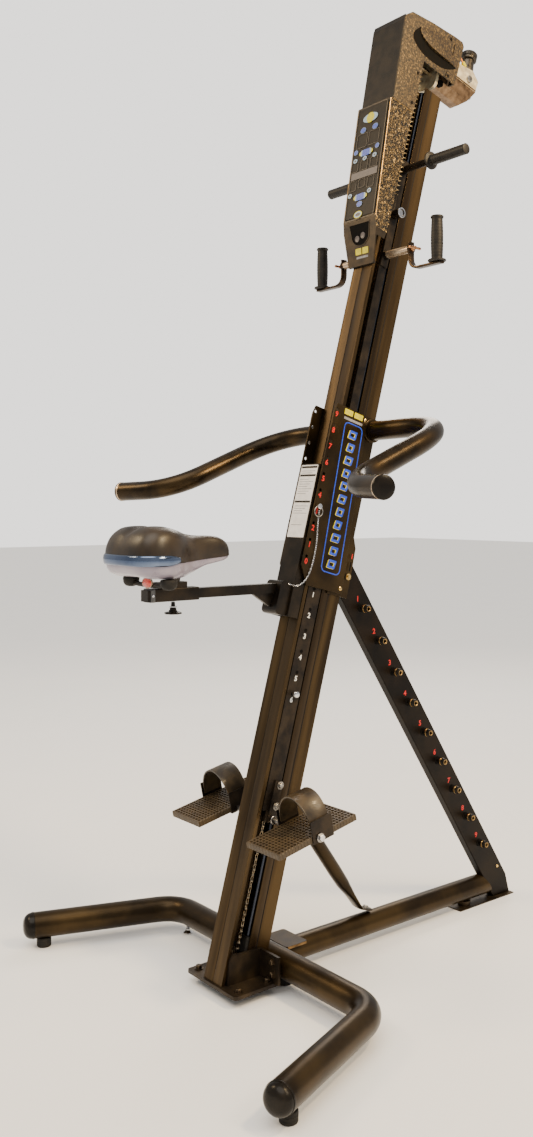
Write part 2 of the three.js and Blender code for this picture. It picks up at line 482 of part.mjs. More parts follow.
// Turning handle: a flat bar bent round into a hook, hung on the lower peg.
const handleWorld = toWorld(PEG_DEPTH, HANDLE_PEG_S);
const hookWidth = 9;
function hook(outer) {
  const bend = 26;
  const grow = outer ? 3 : -3;
  const corner = Array.from({ length: 7 }, (_, i) => {
    const turn = -Math.PI / 2 * i / 6;
    return [124 + bend - (bend + grow) * Math.cos(turn), -50 + bend + (bend + grow) * Math.sin(turn)];
  });
  return [[124 - grow, 16], ...corner, [226, -50 - grow]];
}
const hookPlate = prism(outline([...hook(true), ...hook(false).toReversed()]), 'y', -hookWidth, hookWidth);
pair(root, 'handle_hook', cut(hookPlate, rod([110, 0, 0], [140, 0, 0], 3.6, 10))
  .translate(0, ...handleWorld), 'black');
pair(root, 'handle_grip', join(
  rod([211, 0, -47 + GAP], [211, 0, -42], 22, 16), rod([211, 0, -43], [211, 0, 60], 14.5, 14),
  rod([211, 0, 57], [211, 0, 64], 15.5, 16)).translate(0, ...handleWorld), 'rubber');
pair(root, 'clamp_screw', join(
  rod([120 + GAP, 0, 0], [140, 0, 0], 3.2, 10), rod([127.3, 0, 0], [137, 0, 0], 7, 12),
  rod([138, -19, 0], [138, 19, 0], 3.5, 10)).translate(0, ...handleWorld), 'cast');

// ---- seat ----
// The post slides between the collar plates on the mast's front face; the bracket at its foot holds the arm.
add(onMast, 'seat_post', prism(outline([[-34, -1.5], [-34, -33], [34, -33], [34, -1.5], [31, -1.5], [31, -30],
  [-31, -30], [-31, -1.5]]), 'z', 875, 1250), 'black');
const postAt = (z) => ((z - 33 * sin) / cos);
const armRear = toWorld(-33 - GAP, postAt(ARM_TOP - 10))[0] - 4;
add(root, 'seat_arm', cut(join(
  block(-ARM_SIZE / 2, ARM_SIZE / 2, -165, armRear + 12, ARM_TOP - ARM_SIZE, ARM_TOP),
  block(-ARM_SIZE / 2 - 3, ARM_SIZE / 2 + 3, -170, -163 - GAP, ARM_TOP - ARM_SIZE - 2, ARM_TOP + 1),
  prism(outline([[116, ARM_TOP - 20], [armRear + 8, ARM_TOP - 20], [armRear - 4, 868], [179, 868]]), 'x', -5, 5),
  level(prism(outline(rounded(-66, -32, 874, 955, 10)), 'x', -27, 27))
    .applyMatrix4(new THREE.Matrix4().makeRotationX(-2 * LEAN))),
level(block(-60, 60, -33 - GAP, 40, 800, 1200)).applyMatrix4(new THREE.Matrix4().makeRotationX(-2 * LEAN))),
'black');
const sleeve = rounded(-15.5, 15.5, ARM_TOP - ARM_SIZE - 3.5, ARM_TOP + 3.5, 3);
const SHELL_LOW = ARM_TOP + SADDLE_RISE;
const bumperY = SADDLE_Y - 60;
add(root, 'saddle_slider', join(cut(prism(outline(sleeve, [[[-11.3, ARM_TOP - ARM_SIZE - GAP],
  [11.3, ARM_TOP - ARM_SIZE - GAP], [11.3, ARM_TOP + GAP], [-11.3, ARM_TOP + GAP]]]), 'y', -163, -38),
rod([0, SADDLE_Y, 890], [0, SADDLE_Y, 912], 4.4, 10)),
rod([0, SADDLE_Y, ARM_TOP + 2], [0, SADDLE_Y, ARM_TOP + 14], 15, 14, 13),
block(-12, 12, bumperY - 6, SADDLE_Y + 30, ARM_TOP + 8, ARM_TOP + 17),
...[-77, 77].map((x) => rod([x, bumperY, ARM_TOP + 8], [x, bumperY, SHELL_LOW - GAP], 17, 12)),
block(-80, 80, bumperY - 5, bumperY + 5, ARM_TOP + 9, ARM_TOP + 17)), 'black');
add(root, 'saddle_knob', join(
  rod([0, SADDLE_Y, 874], [0, SADDLE_Y, 879], 20, 16), rod([0, SADDLE_Y, 878], [0, SADDLE_Y, 890], 9, 14, 7),
  rod([0, SADDLE_Y, 886], [0, SADDLE_Y, 903], 4, 10)), 'black');

// Saddle outline from above: half width at each place along it, from tail to nose.
const saddleOutline = [[-138, 0], [-136, 52], [-126, 82], [-98, 99], [-62, 98], [-26, 82], [6, 56], [40, 38],
  [84, 30], [122, 28], [140, 19], [147, 0]];
const saddleRing = (inset) => outline([...saddleOutline.map(([y, x]) => [Math.max(x - inset, 0), SADDLE_Y + y]),
  ...saddleOutline.slice(1, -1).toReversed().map(([y, x]) => [-Math.max(x - inset, 0), SADDLE_Y + y])]);
add(root, 'saddle_shell', prism(saddleRing(6), 'z', SHELL_LOW, SHELL_LOW + SHELL_HEIGHT), 'shell');
add(root, 'saddle_pad', prism(saddleRing(1), 'z', SHELL_LOW + SHELL_HEIGHT + GAP,
  SHELL_LOW + SHELL_HEIGHT + PAD_HEIGHT), 'vinyl');
const pinS = holeS(SEAT_PIN_HOLE);
add(onMast, 'seat_pin', join(rod([COLLAR_IN + 0.5, -20, pinS], [56, -20, pinS], 3.8, 10),
  rod([50, -20, pinS], [56, -20, pinS], 6, 12)), 'chrome');


// Slack chain that ties the seat pin to the seat's bracket.
const LANYARD_R = 1.8;
const lanyardPath = [[53, 281, 1103.5], [51.5, 279.5, 1090], [49, 279, 1066], [47.5, 278.5, 1040], [46.8, 275.5, 1014],
  [46.6, 269, 987], [46.2, 260.6, 962], [45.6, 250.5, 943], [42.6, 237, 928], [38.8, 222.6, 922.5],
  [36.4, 212, 924.5], [32.4, 206, 928.5], [28.2, 204.5, 930]].map((point) => new THREE.Vector3(...point));
add(root, 'lanyard', new THREE.ExtrudeGeometry(outline(circle(0, 0, LANYARD_R, 8)), {
  extrudePath: new THREE.CatmullRomCurve3(lanyardPath), steps: 32 }), 'chrome');

export default machine;
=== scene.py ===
import json
import bpy
import bmesh
import numpy as np
from mathutils import Matrix, Vector

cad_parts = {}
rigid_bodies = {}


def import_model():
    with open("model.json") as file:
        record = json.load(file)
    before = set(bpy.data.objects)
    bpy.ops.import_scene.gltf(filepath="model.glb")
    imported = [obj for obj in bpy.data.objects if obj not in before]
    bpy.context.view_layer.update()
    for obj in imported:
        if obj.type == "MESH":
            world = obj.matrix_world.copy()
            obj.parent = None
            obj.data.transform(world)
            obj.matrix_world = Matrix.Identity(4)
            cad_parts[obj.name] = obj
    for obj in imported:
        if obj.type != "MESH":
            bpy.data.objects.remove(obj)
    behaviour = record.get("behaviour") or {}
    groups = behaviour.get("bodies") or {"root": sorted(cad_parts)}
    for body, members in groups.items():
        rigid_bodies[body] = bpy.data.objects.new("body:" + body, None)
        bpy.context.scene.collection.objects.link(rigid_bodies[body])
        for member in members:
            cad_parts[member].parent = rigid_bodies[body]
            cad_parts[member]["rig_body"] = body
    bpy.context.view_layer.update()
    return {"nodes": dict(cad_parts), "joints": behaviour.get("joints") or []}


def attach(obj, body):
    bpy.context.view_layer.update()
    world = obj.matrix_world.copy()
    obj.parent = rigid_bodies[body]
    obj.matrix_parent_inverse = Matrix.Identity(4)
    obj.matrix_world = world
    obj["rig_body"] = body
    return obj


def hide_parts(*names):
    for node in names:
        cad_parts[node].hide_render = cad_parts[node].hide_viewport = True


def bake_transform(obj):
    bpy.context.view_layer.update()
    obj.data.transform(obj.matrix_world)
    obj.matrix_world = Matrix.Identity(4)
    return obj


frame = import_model()

# ---- Camera, floor and light ----
# The machine stands in a studio on a pale floor. The camera is at chest height, in front of the machine and to
# its right. A warm lamp hangs near the head, a second stands high at the front left, and large soft lamps and a
# window light fill the rest.
def placed(name, data):
    """A new object in the scene that shows the data."""
    item = bpy.data.objects.new(name, data)
    bpy.context.scene.collection.objects.link(item)
    return item


def new_finish(name):
    """A new material, its shader, a function that adds a node and sets its inputs, and one that links sockets."""
    finish = bpy.data.materials.new(name)
    finish.use_nodes = True
    tree = finish.node_tree

    def add(kind, **values):
        node = tree.nodes.new("ShaderNode" + kind)
        for key, value in values.items():
            node.inputs[key.replace("_", " ")].default_value = value
        return node

    return finish, tree.nodes["Principled BSDF"], add, tree.links.new


def ramp(add, *stops):
    """A colour ramp through stops of (position, colour)."""
    tint = add("ValToRGB")
    for k, (place, colour) in enumerate(stops):
        stop = tint.color_ramp.elements[k] if k < 2 else tint.color_ramp.elements.new(place)
        stop.position, stop.color = place, (*colour, 1)
    return tint


EYE = (1.9654, -1.7573, 1.1145)
YAW, PITCH, ROLL = np.radians([50.4387, -0.7416, 0.0924])
ahead = Vector((-np.sin(YAW) * np.cos(PITCH), np.cos(YAW) * np.cos(PITCH), np.sin(PITCH)))
right = Vector((np.cos(YAW), np.sin(YAW), 0.0))
above = right.cross(ahead)
rolled_right = right * np.cos(ROLL) + above * np.sin(ROLL)
rolled_above = above * np.cos(ROLL) - right * np.sin(ROLL)
camera = placed("camera", bpy.data.cameras.new("camera"))
turn = Matrix((rolled_right, rolled_above, -ahead)).transposed().to_4x4()
camera.matrix_world = Matrix.Translation(EYE) @ turn
camera.data.lens = 33.40
camera.data.shift_x = -0.0308
camera.data.shift_y = -0.0439
bpy.context.scene.camera = camera


def hang_lamp(name, place, target, size, power, colour):
    """A square soft lamp at a place, facing a target."""
    light = bpy.data.lights.new(name, "AREA")
    light.size = size
    light.energy = power
    light.color = colour
    aim = (Vector(target) - Vector(place)).to_track_quat("-Z", "Y")
    placed(name, light).matrix_world = Matrix.Translation(place) @ aim.to_matrix().to_4x4()


hang_lamp("head_lamp", (1.75, 0.55, 2.95), (0.0, 0.15, 2.0), 0.45, 78, (1.0, 0.72, 0.38))
hang_lamp("front_lamp", (-1.9, -2.3, 3.2), (0.0, 0.0, 1.8), 1.1, 62, (1.0, 0.76, 0.45))
hang_lamp("side_lamp", (3.6, 0.9, 3.4), (0.0, 0.0, 0.9), 1.2, 75, (1.0, 0.80, 0.52))
hang_lamp("back_lamp", (-2.8, 3.0, 3.4), (0.0, 0.0, 1.2), 1.8, 70, (1.0, 0.90, 0.78))
world = bpy.data.worlds.new("studio")
world.use_nodes = True
window = bpy.data.lights.new("window", "SUN")
window.energy = 2.3
window.angle = 0.9
window.color = (1.0, 0.93, 0.82)
placed("window", window).rotation_euler = Vector((-0.55, 0.75, -2.1)).to_track_quat("-Z", "Y").to_euler()
studio = world.node_tree
studio.nodes["Background"].inputs["Color"].default_value = (1.0, 0.97, 0.93, 1)
seen = studio.nodes.new("ShaderNodeMapRange")
seen.inputs["To Min"].default_value = 0.62
seen.inputs["To Max"].default_value = 1.9
studio.links.new(studio.nodes.new("ShaderNodeLightPath").outputs["Is Camera Ray"], seen.inputs["Value"])
studio.links.new(seen.outputs["Result"], studio.nodes["Background"].inputs["Strength"])
bpy.context.scene.world = world

reach = np.linspace(-24.0, 24.0, 9)
ground_x, ground_y = np.meshgrid(reach, reach, indexing="ij")
ground = bpy.data.meshes.new("floor")
ground_at = np.arange(81).reshape(9, 9)
ground.from_pydata(np.stack([ground_x.ravel(), ground_y.ravel(), np.zeros(81)], -1).tolist(), [],
                   np.stack([ground_at[:-1, :-1], ground_at[1:, :-1], ground_at[1:, 1:],
                             ground_at[:-1, 1:]], -1).reshape(-1, 4).tolist())
paint, paint_shader, add, wire = new_finish("floor_paint")
paint_cloud = add("TexNoise", Scale=3.0)
paint_tint = ramp(add, (0.0, (0.90, 0.895, 0.89)), (1.0, (0.93, 0.925, 0.92)))
wire(add("TexCoord").outputs["Object"], paint_cloud.inputs["Vector"])
wire(paint_cloud.outputs["Fac"], paint_tint.inputs["Fac"])
wire(paint_tint.outputs["Color"], paint_shader.inputs["Base Color"])
paint_shader.inputs["Roughness"].default_value = 0.8
ground.materials.append(paint)
floor = placed("floor", ground)

# ---- Base plate ----
# A thick steel plate with round corners stands on the floor pads. Two folded legs and a shoe that grips the mast
# are welded to it. It is painted black-brown and held down by four hex bolts with washers.
stroke = next(j for j in frame["joints"] if j["name"] == "right_stroke")
SINE, COSINE = stroke["axis"][1], stroke["axis"][2]
MIDDLE = 402.5


def on_floor(points):
    """Drawing millimetres to metres: y moves back by the middle of the machine's length."""
    return (np.asarray(points, float) - (0.0, MIDDLE, 0.0)) / 1000


def on_mast(points):
    """Mast millimetres (x across, depth behind the front face, distance up the mast) to metres."""
    x, depth, along = np.moveaxis(np.asarray(points, float), -1, 0)
    return on_floor(np.stack([x, depth * COSINE + along * SINE, along * COSINE - depth * SINE], -1))


def quads(rows, columns, ring=True):
    """Faces of a grid of rows by columns of points; a ring joins the last column to the first."""
    i, j = np.meshgrid(np.arange(rows - 1), np.arange(columns if ring else columns - 1), indexing="ij")
    k = (j + 1) % columns
    return np.stack([i * columns + j, i * columns + k, (i + 1) * columns + k, (i + 1) * columns + j],
                    -1).reshape(-1, 4).tolist()


def turned(profile, start, aim, sides=32):
    """A turned solid: each (distance, radius) of the profile becomes a circle round the axis aim from start."""
    distance, radius = np.asarray(profile, float).T
    aim = np.asarray(aim, float) / np.linalg.norm(aim)
    helper = np.eye(3)[np.argmin(np.abs(aim))]
    side = np.cross(aim, helper)
    side /= np.linalg.norm(side)
    other = np.cross(aim, side)
    angle = np.arange(sides) * 2 * np.pi / sides
    rim = np.cos(angle)[:, None] * side + np.sin(angle)[:, None] * other
    points = np.asarray(start) + distance[:, None, None] * aim + radius[:, None, None] * rim
    caps = [list(range(sides)), list(range((len(radius) - 1) * sides, len(radius) * sides))]
    return points.reshape(-1, 3), quads(len(radius), sides) + caps


def round_edges(piece, width, turn):
    """A bevel of that many millimetres on the edges that turn by more than so many degrees."""
    edge = piece.modifiers.new("edge", "BEVEL")
    edge.width = width / 1000
    edge.segments = 2
    edge.limit_method = "ANGLE"
    edge.angle_limit = np.radians(turn)
    edge.harden_normals = True


def put(name, body, finishes, shells, place=on_floor, bevel=0.0, sharp=35.0):
    """One piece from shells of (points, faces, finish number): doubles merged and normals turned outwards."""
    work = bmesh.new()
    for points, faces, *number in shells:
        mesh = bpy.data.meshes.new(name)
        mesh.from_pydata(place(points).tolist(), [], faces)
        first = len(work.faces)
        work.from_mesh(mesh)
        work.faces.ensure_lookup_table()
        for face in work.faces[first:]:
            face.material_index = number[0] if number else 0
        bpy.data.meshes.remove(mesh)
    bmesh.ops.remove_doubles(work, verts=work.verts, dist=2e-6)
    bmesh.ops.dissolve_degenerate(work, edges=work.edges, dist=1e-7)
    bmesh.ops.recalc_face_normals(work, faces=work.faces)
    mesh = bpy.data.meshes.new(name)
    work.to_mesh(mesh)
    work.free()
    mesh.shade_smooth()
    mesh.set_sharp_from_angle(angle=np.radians(sharp))
    for finish in finishes:
        mesh.materials.append(finish)
    piece = placed(name, mesh)
    if bevel:
        round_edges(piece, bevel, 40)
    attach(piece, body)
    return piece


def made(node, finishes, shells, place=on_floor, bevel=0.0, sharp=35.0):
    """A piece that stands for a CAD node, on that node's body; the node itself is hidden."""
    piece = put(node + "_made", frame["nodes"][node]["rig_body"], finishes, shells, place, bevel, sharp)
    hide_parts(node)
    return piece


def soften(node, finishes, bevel, choose=None):
    """A copy of a CAD node with its doubles merged, flat faces joined and edges rounded, which stands for it."""
    source = frame["nodes"][node]
    work = bmesh.new()
    work.from_mesh(source.data)
    bmesh.ops.remove_doubles(work, verts=work.verts, dist=1e-5)
    bmesh.ops.dissolve_limit(work, angle_limit=np.radians(1.5), verts=work.verts, edges=work.edges)
    mesh = bpy.data.meshes.new(node + "_made")
    work.to_mesh(mesh)
    work.free()
    mesh.materials.clear()
    for finish in finishes:
        mesh.materials.append(finish)
    centres = np.empty(len(mesh.polygons) * 3)
    mesh.polygons.foreach_get("center", centres)
    number = choose(centres.reshape(-1, 3)) if choose else np.zeros(len(mesh.polygons))
    mesh.polygons.foreach_set("material_index", number.astype(np.int32))
    mesh.shade_smooth()
    mesh.set_sharp_from_angle(angle=np.radians(32))
    piece = placed(node + "_made", mesh)
    round_edges(piece, bevel, 32)
    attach(piece, source["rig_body"])
    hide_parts(node)
    return piece


def enamel(name, dark, light, metal, rough, cloud=14.0, fleck=900.0, bump=0.12, spread=0.10, coat=0.0,
           stretch=None, shine=0.5):
    """A finish on object coordinates: a broad noise mixes the dark and light colour and moves the roughness by
    the spread, a fine noise lifts the surface; stretch scales the pattern along the leaning mast."""
    finish, shader, add, wire = new_finish(name)
    where = add("TexCoord").outputs["Object"]
    if stretch is not None:
        lay = add("Mapping", Rotation=(-np.arctan2(SINE, COSINE), 0, 0), Scale=(1, 1, stretch))
        lay.vector_type = "TEXTURE"
        wire(where, lay.inputs["Vector"])
        where = lay.outputs["Vector"]
    broad = add("TexNoise", Scale=cloud, Detail=6)
    fine = add("TexNoise", Scale=fleck, Detail=3)
    tint = ramp(add, (0.38, dark), (0.64, light))
    gloss = add("MapRange", To_Min=rough - spread, To_Max=rough + spread)
    lift = add("Bump", Strength=bump, Distance=0.0006)
    wire(where, broad.inputs["Vector"])
    wire(where, fine.inputs["Vector"])
    wire(broad.outputs["Fac"], tint.inputs["Fac"])
    wire(broad.outputs["Fac"], gloss.inputs["Value"])
    wire(fine.outputs["Fac"], lift.inputs["Height"])
    wire(tint.outputs["Color"], shader.inputs["Base Color"])
    wire(gloss.outputs["Result"], shader.inputs["Roughness"])
    wire(lift.outputs["Normal"], shader.inputs["Normal"])
    shader.inputs["Metallic"].default_value = metal
    shader.inputs["Coat Weight"].default_value = coat
    shader.inputs["Coat Roughness"].default_value = 0.15
    shader.inputs["Specular IOR Level"].default_value = shine
    return finish


def hex_bolt(at, aim, across, height, washer=0.0):
    """A hex head with chamfered top on a round washer: six-sided rings with falling radius near the top."""
    head = turned([(washer, across * 0.57), (height * 0.85, across * 0.57), (height, across * 0.48)], at, aim, 6)
    disc = turned([(0, across * 0.85), (max(washer, 0.3), across * 0.85)], at, aim, 20)
    return [head, disc] if washer else [head]


frame_black = enamel("frame_black", (0.020, 0.0125, 0.0052), (0.050, 0.031, 0.0112), 0.75, 0.33, cloud=9,
                     fleck=1400, bump=0.10, spread=0.07, shine=0.35)
plate_brown = enamel("plate_brown", (0.018, 0.013, 0.009), (0.050, 0.034, 0.018), 0.6, 0.42, cloud=22,
                     fleck=1300, bump=0.14, shine=0.35)
bolt_steel = enamel("bolt_steel", (0.20, 0.19, 0.18), (0.42, 0.40, 0.37), 1.0, 0.30, cloud=160, fleck=2600,
                    bump=0.05)
soften("base_plate", [plate_brown], 1.4)
base_bolts = [part for x in (-78, 78) for y in (24, 106) for part in hex_bolt((x, y, 30), (0, 0, 1), 13, 9, 1.6)]
base_bolts += [part for x in (-88, 88) for z in (48, 76)
               for part in hex_bolt((x, 113, z), (0, -1, 0), 12, 7, 1.2)]
bolt_brown = enamel("bolt_brown", (0.040, 0.028, 0.018), (0.11, 0.080, 0.050), 0.9, 0.36, cloud=120, fleck=1800)
put("base_bolts", "root", [bolt_brown], base_bolts)

# ---- Cross tube and its end caps ----
# One bent 2.5 inch steel tube makes the front of the base: a straight part under the mast and two legs that reach
# forward. It is painted black, and moulded plastic domes close its ends.
TUBE_R, TUBE_Z, CROSS_Y = 31.75, 55.0, 160.0
SIDES = ((1, "right"), (-1, "left"))
CHAIN_PITCH, HAND_HOLE_STEP, SEAT_HOLE_STEP = 12.7, 50.8, 40.8
COLLAR_FACE, CHANNEL_BACK = 42.5, 120.4
STRUT_HALF, STRUT_DEEP, KNOB_STEP = 12.7, 76.2, 102.5
LEG_END = np.array([500.0, -191.0, TUBE_Z])


def route(corners, bends, step=9.0):
    """Points along straight runs joined by round bends: at each corner a quadratic curve leaves the run at the
    bend radius times the tangent of half the turn, and every part is divided at about the step."""
    corners = np.asarray(corners, float)
    pieces, start = [], corners[0]
    for before, corner, after, bend in zip(corners[:-2], corners[1:-1], corners[2:], bends):
        back = (before - corner) / np.linalg.norm(before - corner)
        on = (after - corner) / np.linalg.norm(after - corner)
        length = bend * np.tan((np.pi - np.arccos(np.clip(back @ on, -1, 1))) / 2)
        enter, leave = corner + back * length, corner + on * length
        count = max(2, int(np.linalg.norm(enter - start) / 40))
        pieces.append(start + np.linspace(0, 1, count, endpoint=False)[:, None] * (enter - start))
        t = np.linspace(0, 1, max(6, int(2 * length / step)), endpoint=False)[:, None]
        pieces.append((1 - t) ** 2 * enter + 2 * t * (1 - t) * corner + t ** 2 * leave)
        start = leave
    count = max(2, int(np.linalg.norm(corners[-1] - start) / 40))
    pieces.append(start + np.linspace(0, 1, count)[:, None] * (corners[-1] - start))
    return np.concatenate(pieces)


def carried(path, section, upright=(0.0, 0.0, 1.0)):
    """A closed section carried along a path: the first section coordinate lies along upright x tangent and the
    second along tangent x that; the section may change from ring to ring. Flat faces close both ends."""
    path = np.asarray(path, float)
    tangent = np.gradient(path, axis=0)
    tangent /= np.linalg.norm(tangent, axis=1)[:, None]
    side = np.cross(upright, tangent)
    side /= np.linalg.norm(side, axis=1)[:, None]
    up = np.cross(tangent, side)
    section = np.broadcast_to(section, (len(path),) + np.shape(section)[-2:])
    points = path[:, None] + side[:, None] * section[..., :1] + up[:, None] * section[..., 1:]
    count = section.shape[1]
    caps = [list(range(count)), list(range((len(path) - 1) * count, len(path) * count))]
    return points.reshape(-1, 3), quads(len(path), count) + caps


def circle(radius, sides=36):
    """Points of a circle, one for each equal turn."""
    angle = np.arange(sides) * 2 * np.pi / sides
    return radius * np.stack([np.cos(angle), np.sin(angle)], -1)


cap_black = enamel("cap_black", (0.006, 0.005, 0.004), (0.014, 0.011, 0.008), 0.0, 0.24, cloud=30, fleck=700,
                   bump=0.06, spread=0.06, shine=0.14)
leg_path = route([LEG_END, (374, CROSS_Y, TUBE_Z), (-374, CROSS_Y, TUBE_Z), LEG_END * (-1, 1, 1)], [90, 90])
made("cross_tube", [frame_black], [carried(leg_path, circle(TUBE_R, 40))])
dome_angle = np.linspace(0, np.pi / 2, 12)
dome = [(-12, 31.0), (-2, 31.0), (-1.2, 32.3), (2.5, 32.6), (4.0, 32.2)]
dome += list(zip(4 + 22 * np.sin(dome_angle), 31.4 * np.cos(dome_angle) ** 0.75))
for side, word in SIDES:
    leg_aim = (LEG_END - (374, CROSS_Y, TUBE_Z)) * (side, 1, 1)
    put("leg_cap_" + word, "root", [cap_black], [turned(dome, LEG_END * (side, 1, 1), leg_aim, 40)],
        sharp=50)

# ---- Rear tube and gusset ----
# A 2.25 inch tube runs back from the cross tube to the strut, coped at the front and cut to the strut's slope at
# the rear. A flat gusset plate is welded over the joint with the cross tube.
REAR_R, REAR_Z = 28.6, 44.5
STRUT_TOP, STRUT_BOTTOM = np.array([355.5, 931.3]), np.array([966.0, 3.5])
angle = np.arange(40) * 2 * np.pi / 40
tube_x, tube_z = REAR_R * np.cos(angle), REAR_Z + REAR_R * np.sin(angle)
cope = CROSS_Y + np.sqrt(np.maximum(TUBE_R ** 2 - (tube_z - TUBE_Z) ** 2, 0)) - 1
mitre = STRUT_TOP[0] + (STRUT_TOP[1] - tube_z) * (STRUT_BOTTOM[0] - STRUT_TOP[0]) / (
    STRUT_TOP[1] - STRUT_BOTTOM[1]) - 0.5
share = np.linspace(0, 1, 24)[:, None]
rear_points = np.stack([tube_x + 0 * share, cope + (mitre - cope) * share, tube_z + 0 * share], -1)
rear_faces = quads(24, 40) + [list(range(40)), list(range(23 * 40, 24 * 40))]


def plate(outline, low, high, axes=(0, 1, 2)):
    """A flat outline (two coordinates) carried straight from low to high along the third; axes says where each
    of the three coordinates goes."""
    outline = np.asarray(outline, float)
    count = len(outline)
    flat = np.concatenate([np.c_[outline, np.full(count, low)], np.c_[outline, np.full(count, high)]])
    points = np.empty_like(flat)
    points[:, list(axes)] = flat
    return points, quads(2, count) + [list(range(count)), list(range(count, 2 * count))]


def rounded(u0, u1, v0, v1, radius, steps=6):
    """Outline of a rectangle with round corners, a quarter circle at each corner."""
    quarter = np.linspace(0, np.pi / 2, steps)
    corners = [(u1 - radius, v0 + radius, -np.pi / 2), (u1 - radius, v1 - radius, 0),
               (u0 + radius, v1 - radius, np.pi / 2), (u0 + radius, v0 + radius, np.pi)]
    return np.concatenate([np.stack([u + radius * np.cos(a + quarter), v + radius * np.sin(a + quarter)], -1)
                           for u, v, a in corners])


# Painted highlight: a thin gold strip laid over the gusset plate's right edge stands for the light along that edge.
gusset_edge_highlight = enamel("gusset_edge_highlight", (0.10, 0.055, 0.020), (0.24, 0.14, 0.05), 0.8, 0.40, cloud=40, fleck=1500)
made("rear_tube", [frame_black, plate_brown, gusset_edge_highlight],
     [(rear_points.reshape(-1, 3), rear_faces, 0),
      (*plate(rounded(-46, 46, 188, 252, 7), 69.6, 76), 1),
      (*plate([(46.0, 192), (46.6, 192), (46.6, 248), (46.0, 248)], 70, 75.6), 2)], bevel=0.8)

# ---- Feet and levellers ----
# Ribbed rubber bushings stand under the legs, the middle and the rear plate. Two chromed levelling screws with
# round pads are threaded up into the cross tube.
rubber_black = enamel("rubber_black", (0.007, 0.006, 0.005), (0.016, 0.014, 0.011), 0.0, 0.62, cloud=45,
                      fleck=1100, bump=0.25, shine=0.25)
foot_profile = [(0, 15.5), (1.2, 17.4), (3, 18), (7, 18), (7.6, 17.2), (8.4, 17.2), (9, 18), (14, 18), (14.6, 17.2),
                (15.4, 17.2), (16, 18), (21.5, 18), (23, 17), (24.5, 13)]
for name, x, y in (("leg_foot_right", 492.5, -166), ("leg_foot_left", -492.5, -166), ("centre_foot", 56, 174)):
    made(name, [rubber_black], [turned(foot_profile, (x, y, 0), (0, 0, 1), 36)])
bright = enamel("bright_chrome", (0.42, 0.42, 0.43), (0.72, 0.72, 0.73), 1.0, 0.12, cloud=60, fleck=2400,
                bump=0.02, spread=0.04)
screw_z = np.arange(13, 44, 0.5)
screw = [(0, 11), (1, 13), (2.4, 13), (6, 9), (8, 6), (12, 5.6)]
screw += list(zip(screw_z, 4.5 + 0.35 * np.sin(screw_z * 2 * np.pi / 1.5)))
for name, x in (("leveller_right", 329), ("leveller_left", -329)):
    made(name, [bright], [turned(screw, (x, CROSS_Y, 0), (0, 0, 1), 24)])
soften("rear_foot_plate", [plate_brown], 0.6)

# ---- Lower brace ----
# A 1.3 inch tube from the back of the mast down to the rear tube, with its lower end pressed flat, bent level and
# bolted through.
brace_path = route([(0, 226, 415), (0, 457, 92.5), (0, 497, 78.2)], [16], step=4)
flat_share = np.clip((brace_path[:, 1] - 392) / 60, 0, 1)[:, None]
end_share = np.clip((brace_path[:, 1] - 468) / 29, 0, 1)[:, None]
flat_share = flat_share ** 2 * (3 - 2 * flat_share)
ring_x, ring_y = circle(1.0, 36).T
brace_section = np.stack([(17 - 13.2 * flat_share) * ring_x,
                          (17 + 4 * flat_share) * (1 - 0.45 * end_share ** 2.2) * ring_y], -1)
made("lower_brace", [frame_black, bolt_steel],
     [carried(brace_path, brace_section, (1.0, 0.0, 0.0))]
     + [(*part, 1) for part in hex_bolt((0, 482, 83.2), (0, 0.36, 1), 13, 8, 1.5)], sharp=60)

# ---- Mast ----
# An extruded aluminium double-slot column, anodised dark bronze. A groove runs down its front and two fine grooves
# run down each side behind the slots; the shade in them is painted as thin dark strips on the faces.
mast_bronze = enamel("mast_bronze", (0.024, 0.0145, 0.0062), (0.076, 0.047, 0.0185), 0.85, 0.36, cloud=26,
                     fleck=900, bump=0.10, spread=0.08, stretch=14.0)
soften("mast", [mast_bronze], 0.4)
# Painted shade: near-black strips standing a hair proud of the faces mark the shade inside the grooves.
groove_shade_strips = [plate([(77.0, 36), (80.0, 36), (80.0, 2300), (77.0, 2300)], side * 33.4, side * 34.6, (1, 2, 0))
           for side in (1, -1)]
groove_shade_strips.append(plate([(-0.5, 60), (0.5, 60), (0.5, 2290), (-0.5, 2290)], -0.05, 1.0, (0, 2, 1)))
groove_shade = enamel("groove_shade", (0.004, 0.003, 0.002), (0.009, 0.006, 0.004), 0.0, 0.7, cloud=90, fleck=900,
                     shine=0.2)
put("mast_groove_shade", "root", [groove_shade], groove_shade_strips, on_mast)

# ---- Roller chain ----
# Half-inch pitch roller chain in an endless loop round the two sprockets. Each link is a roller between two pairs
# of plates with waisted sides, alternately inner and outer.
CHAIN_R, CHAIN_DEPTH, CHAIN_LOW, CHAIN_HIGH = 18.0, 36.0, 98.0, 2372.0
straight = CHAIN_HIGH - CHAIN_LOW
loop = 2 * straight + 2 * np.pi * CHAIN_R
link_count = 2 * int(round(loop / CHAIN_PITCH / 2))
pitch = loop / link_count
run = np.arange(link_count) * pitch
arc = np.pi * CHAIN_R
up_side, over, down_side = run < straight, run < straight + arc, run < 2 * straight + arc
swing = np.where(up_side, 0.0, np.where(over, (run - straight) / CHAIN_R,
                 np.where(down_side, np.pi, np.pi + (run - 2 * straight - arc) / CHAIN_R)))
hub = np.where(up_side, CHAIN_LOW + run, np.where(over, CHAIN_HIGH,
               np.where(down_side, CHAIN_HIGH - (run - straight - arc), CHAIN_LOW)))
pin_x, pin_s = CHAIN_R * np.cos(swing), hub + np.where(up_side | (~over & down_side), 0, CHAIN_R * np.sin(swing))
along_x, along_s = np.roll(pin_x, -1) - pin_x, np.roll(pin_s, -1) - pin_s
length = np.hypot(along_x, along_s)
along_x, along_s = along_x / length, along_s / length
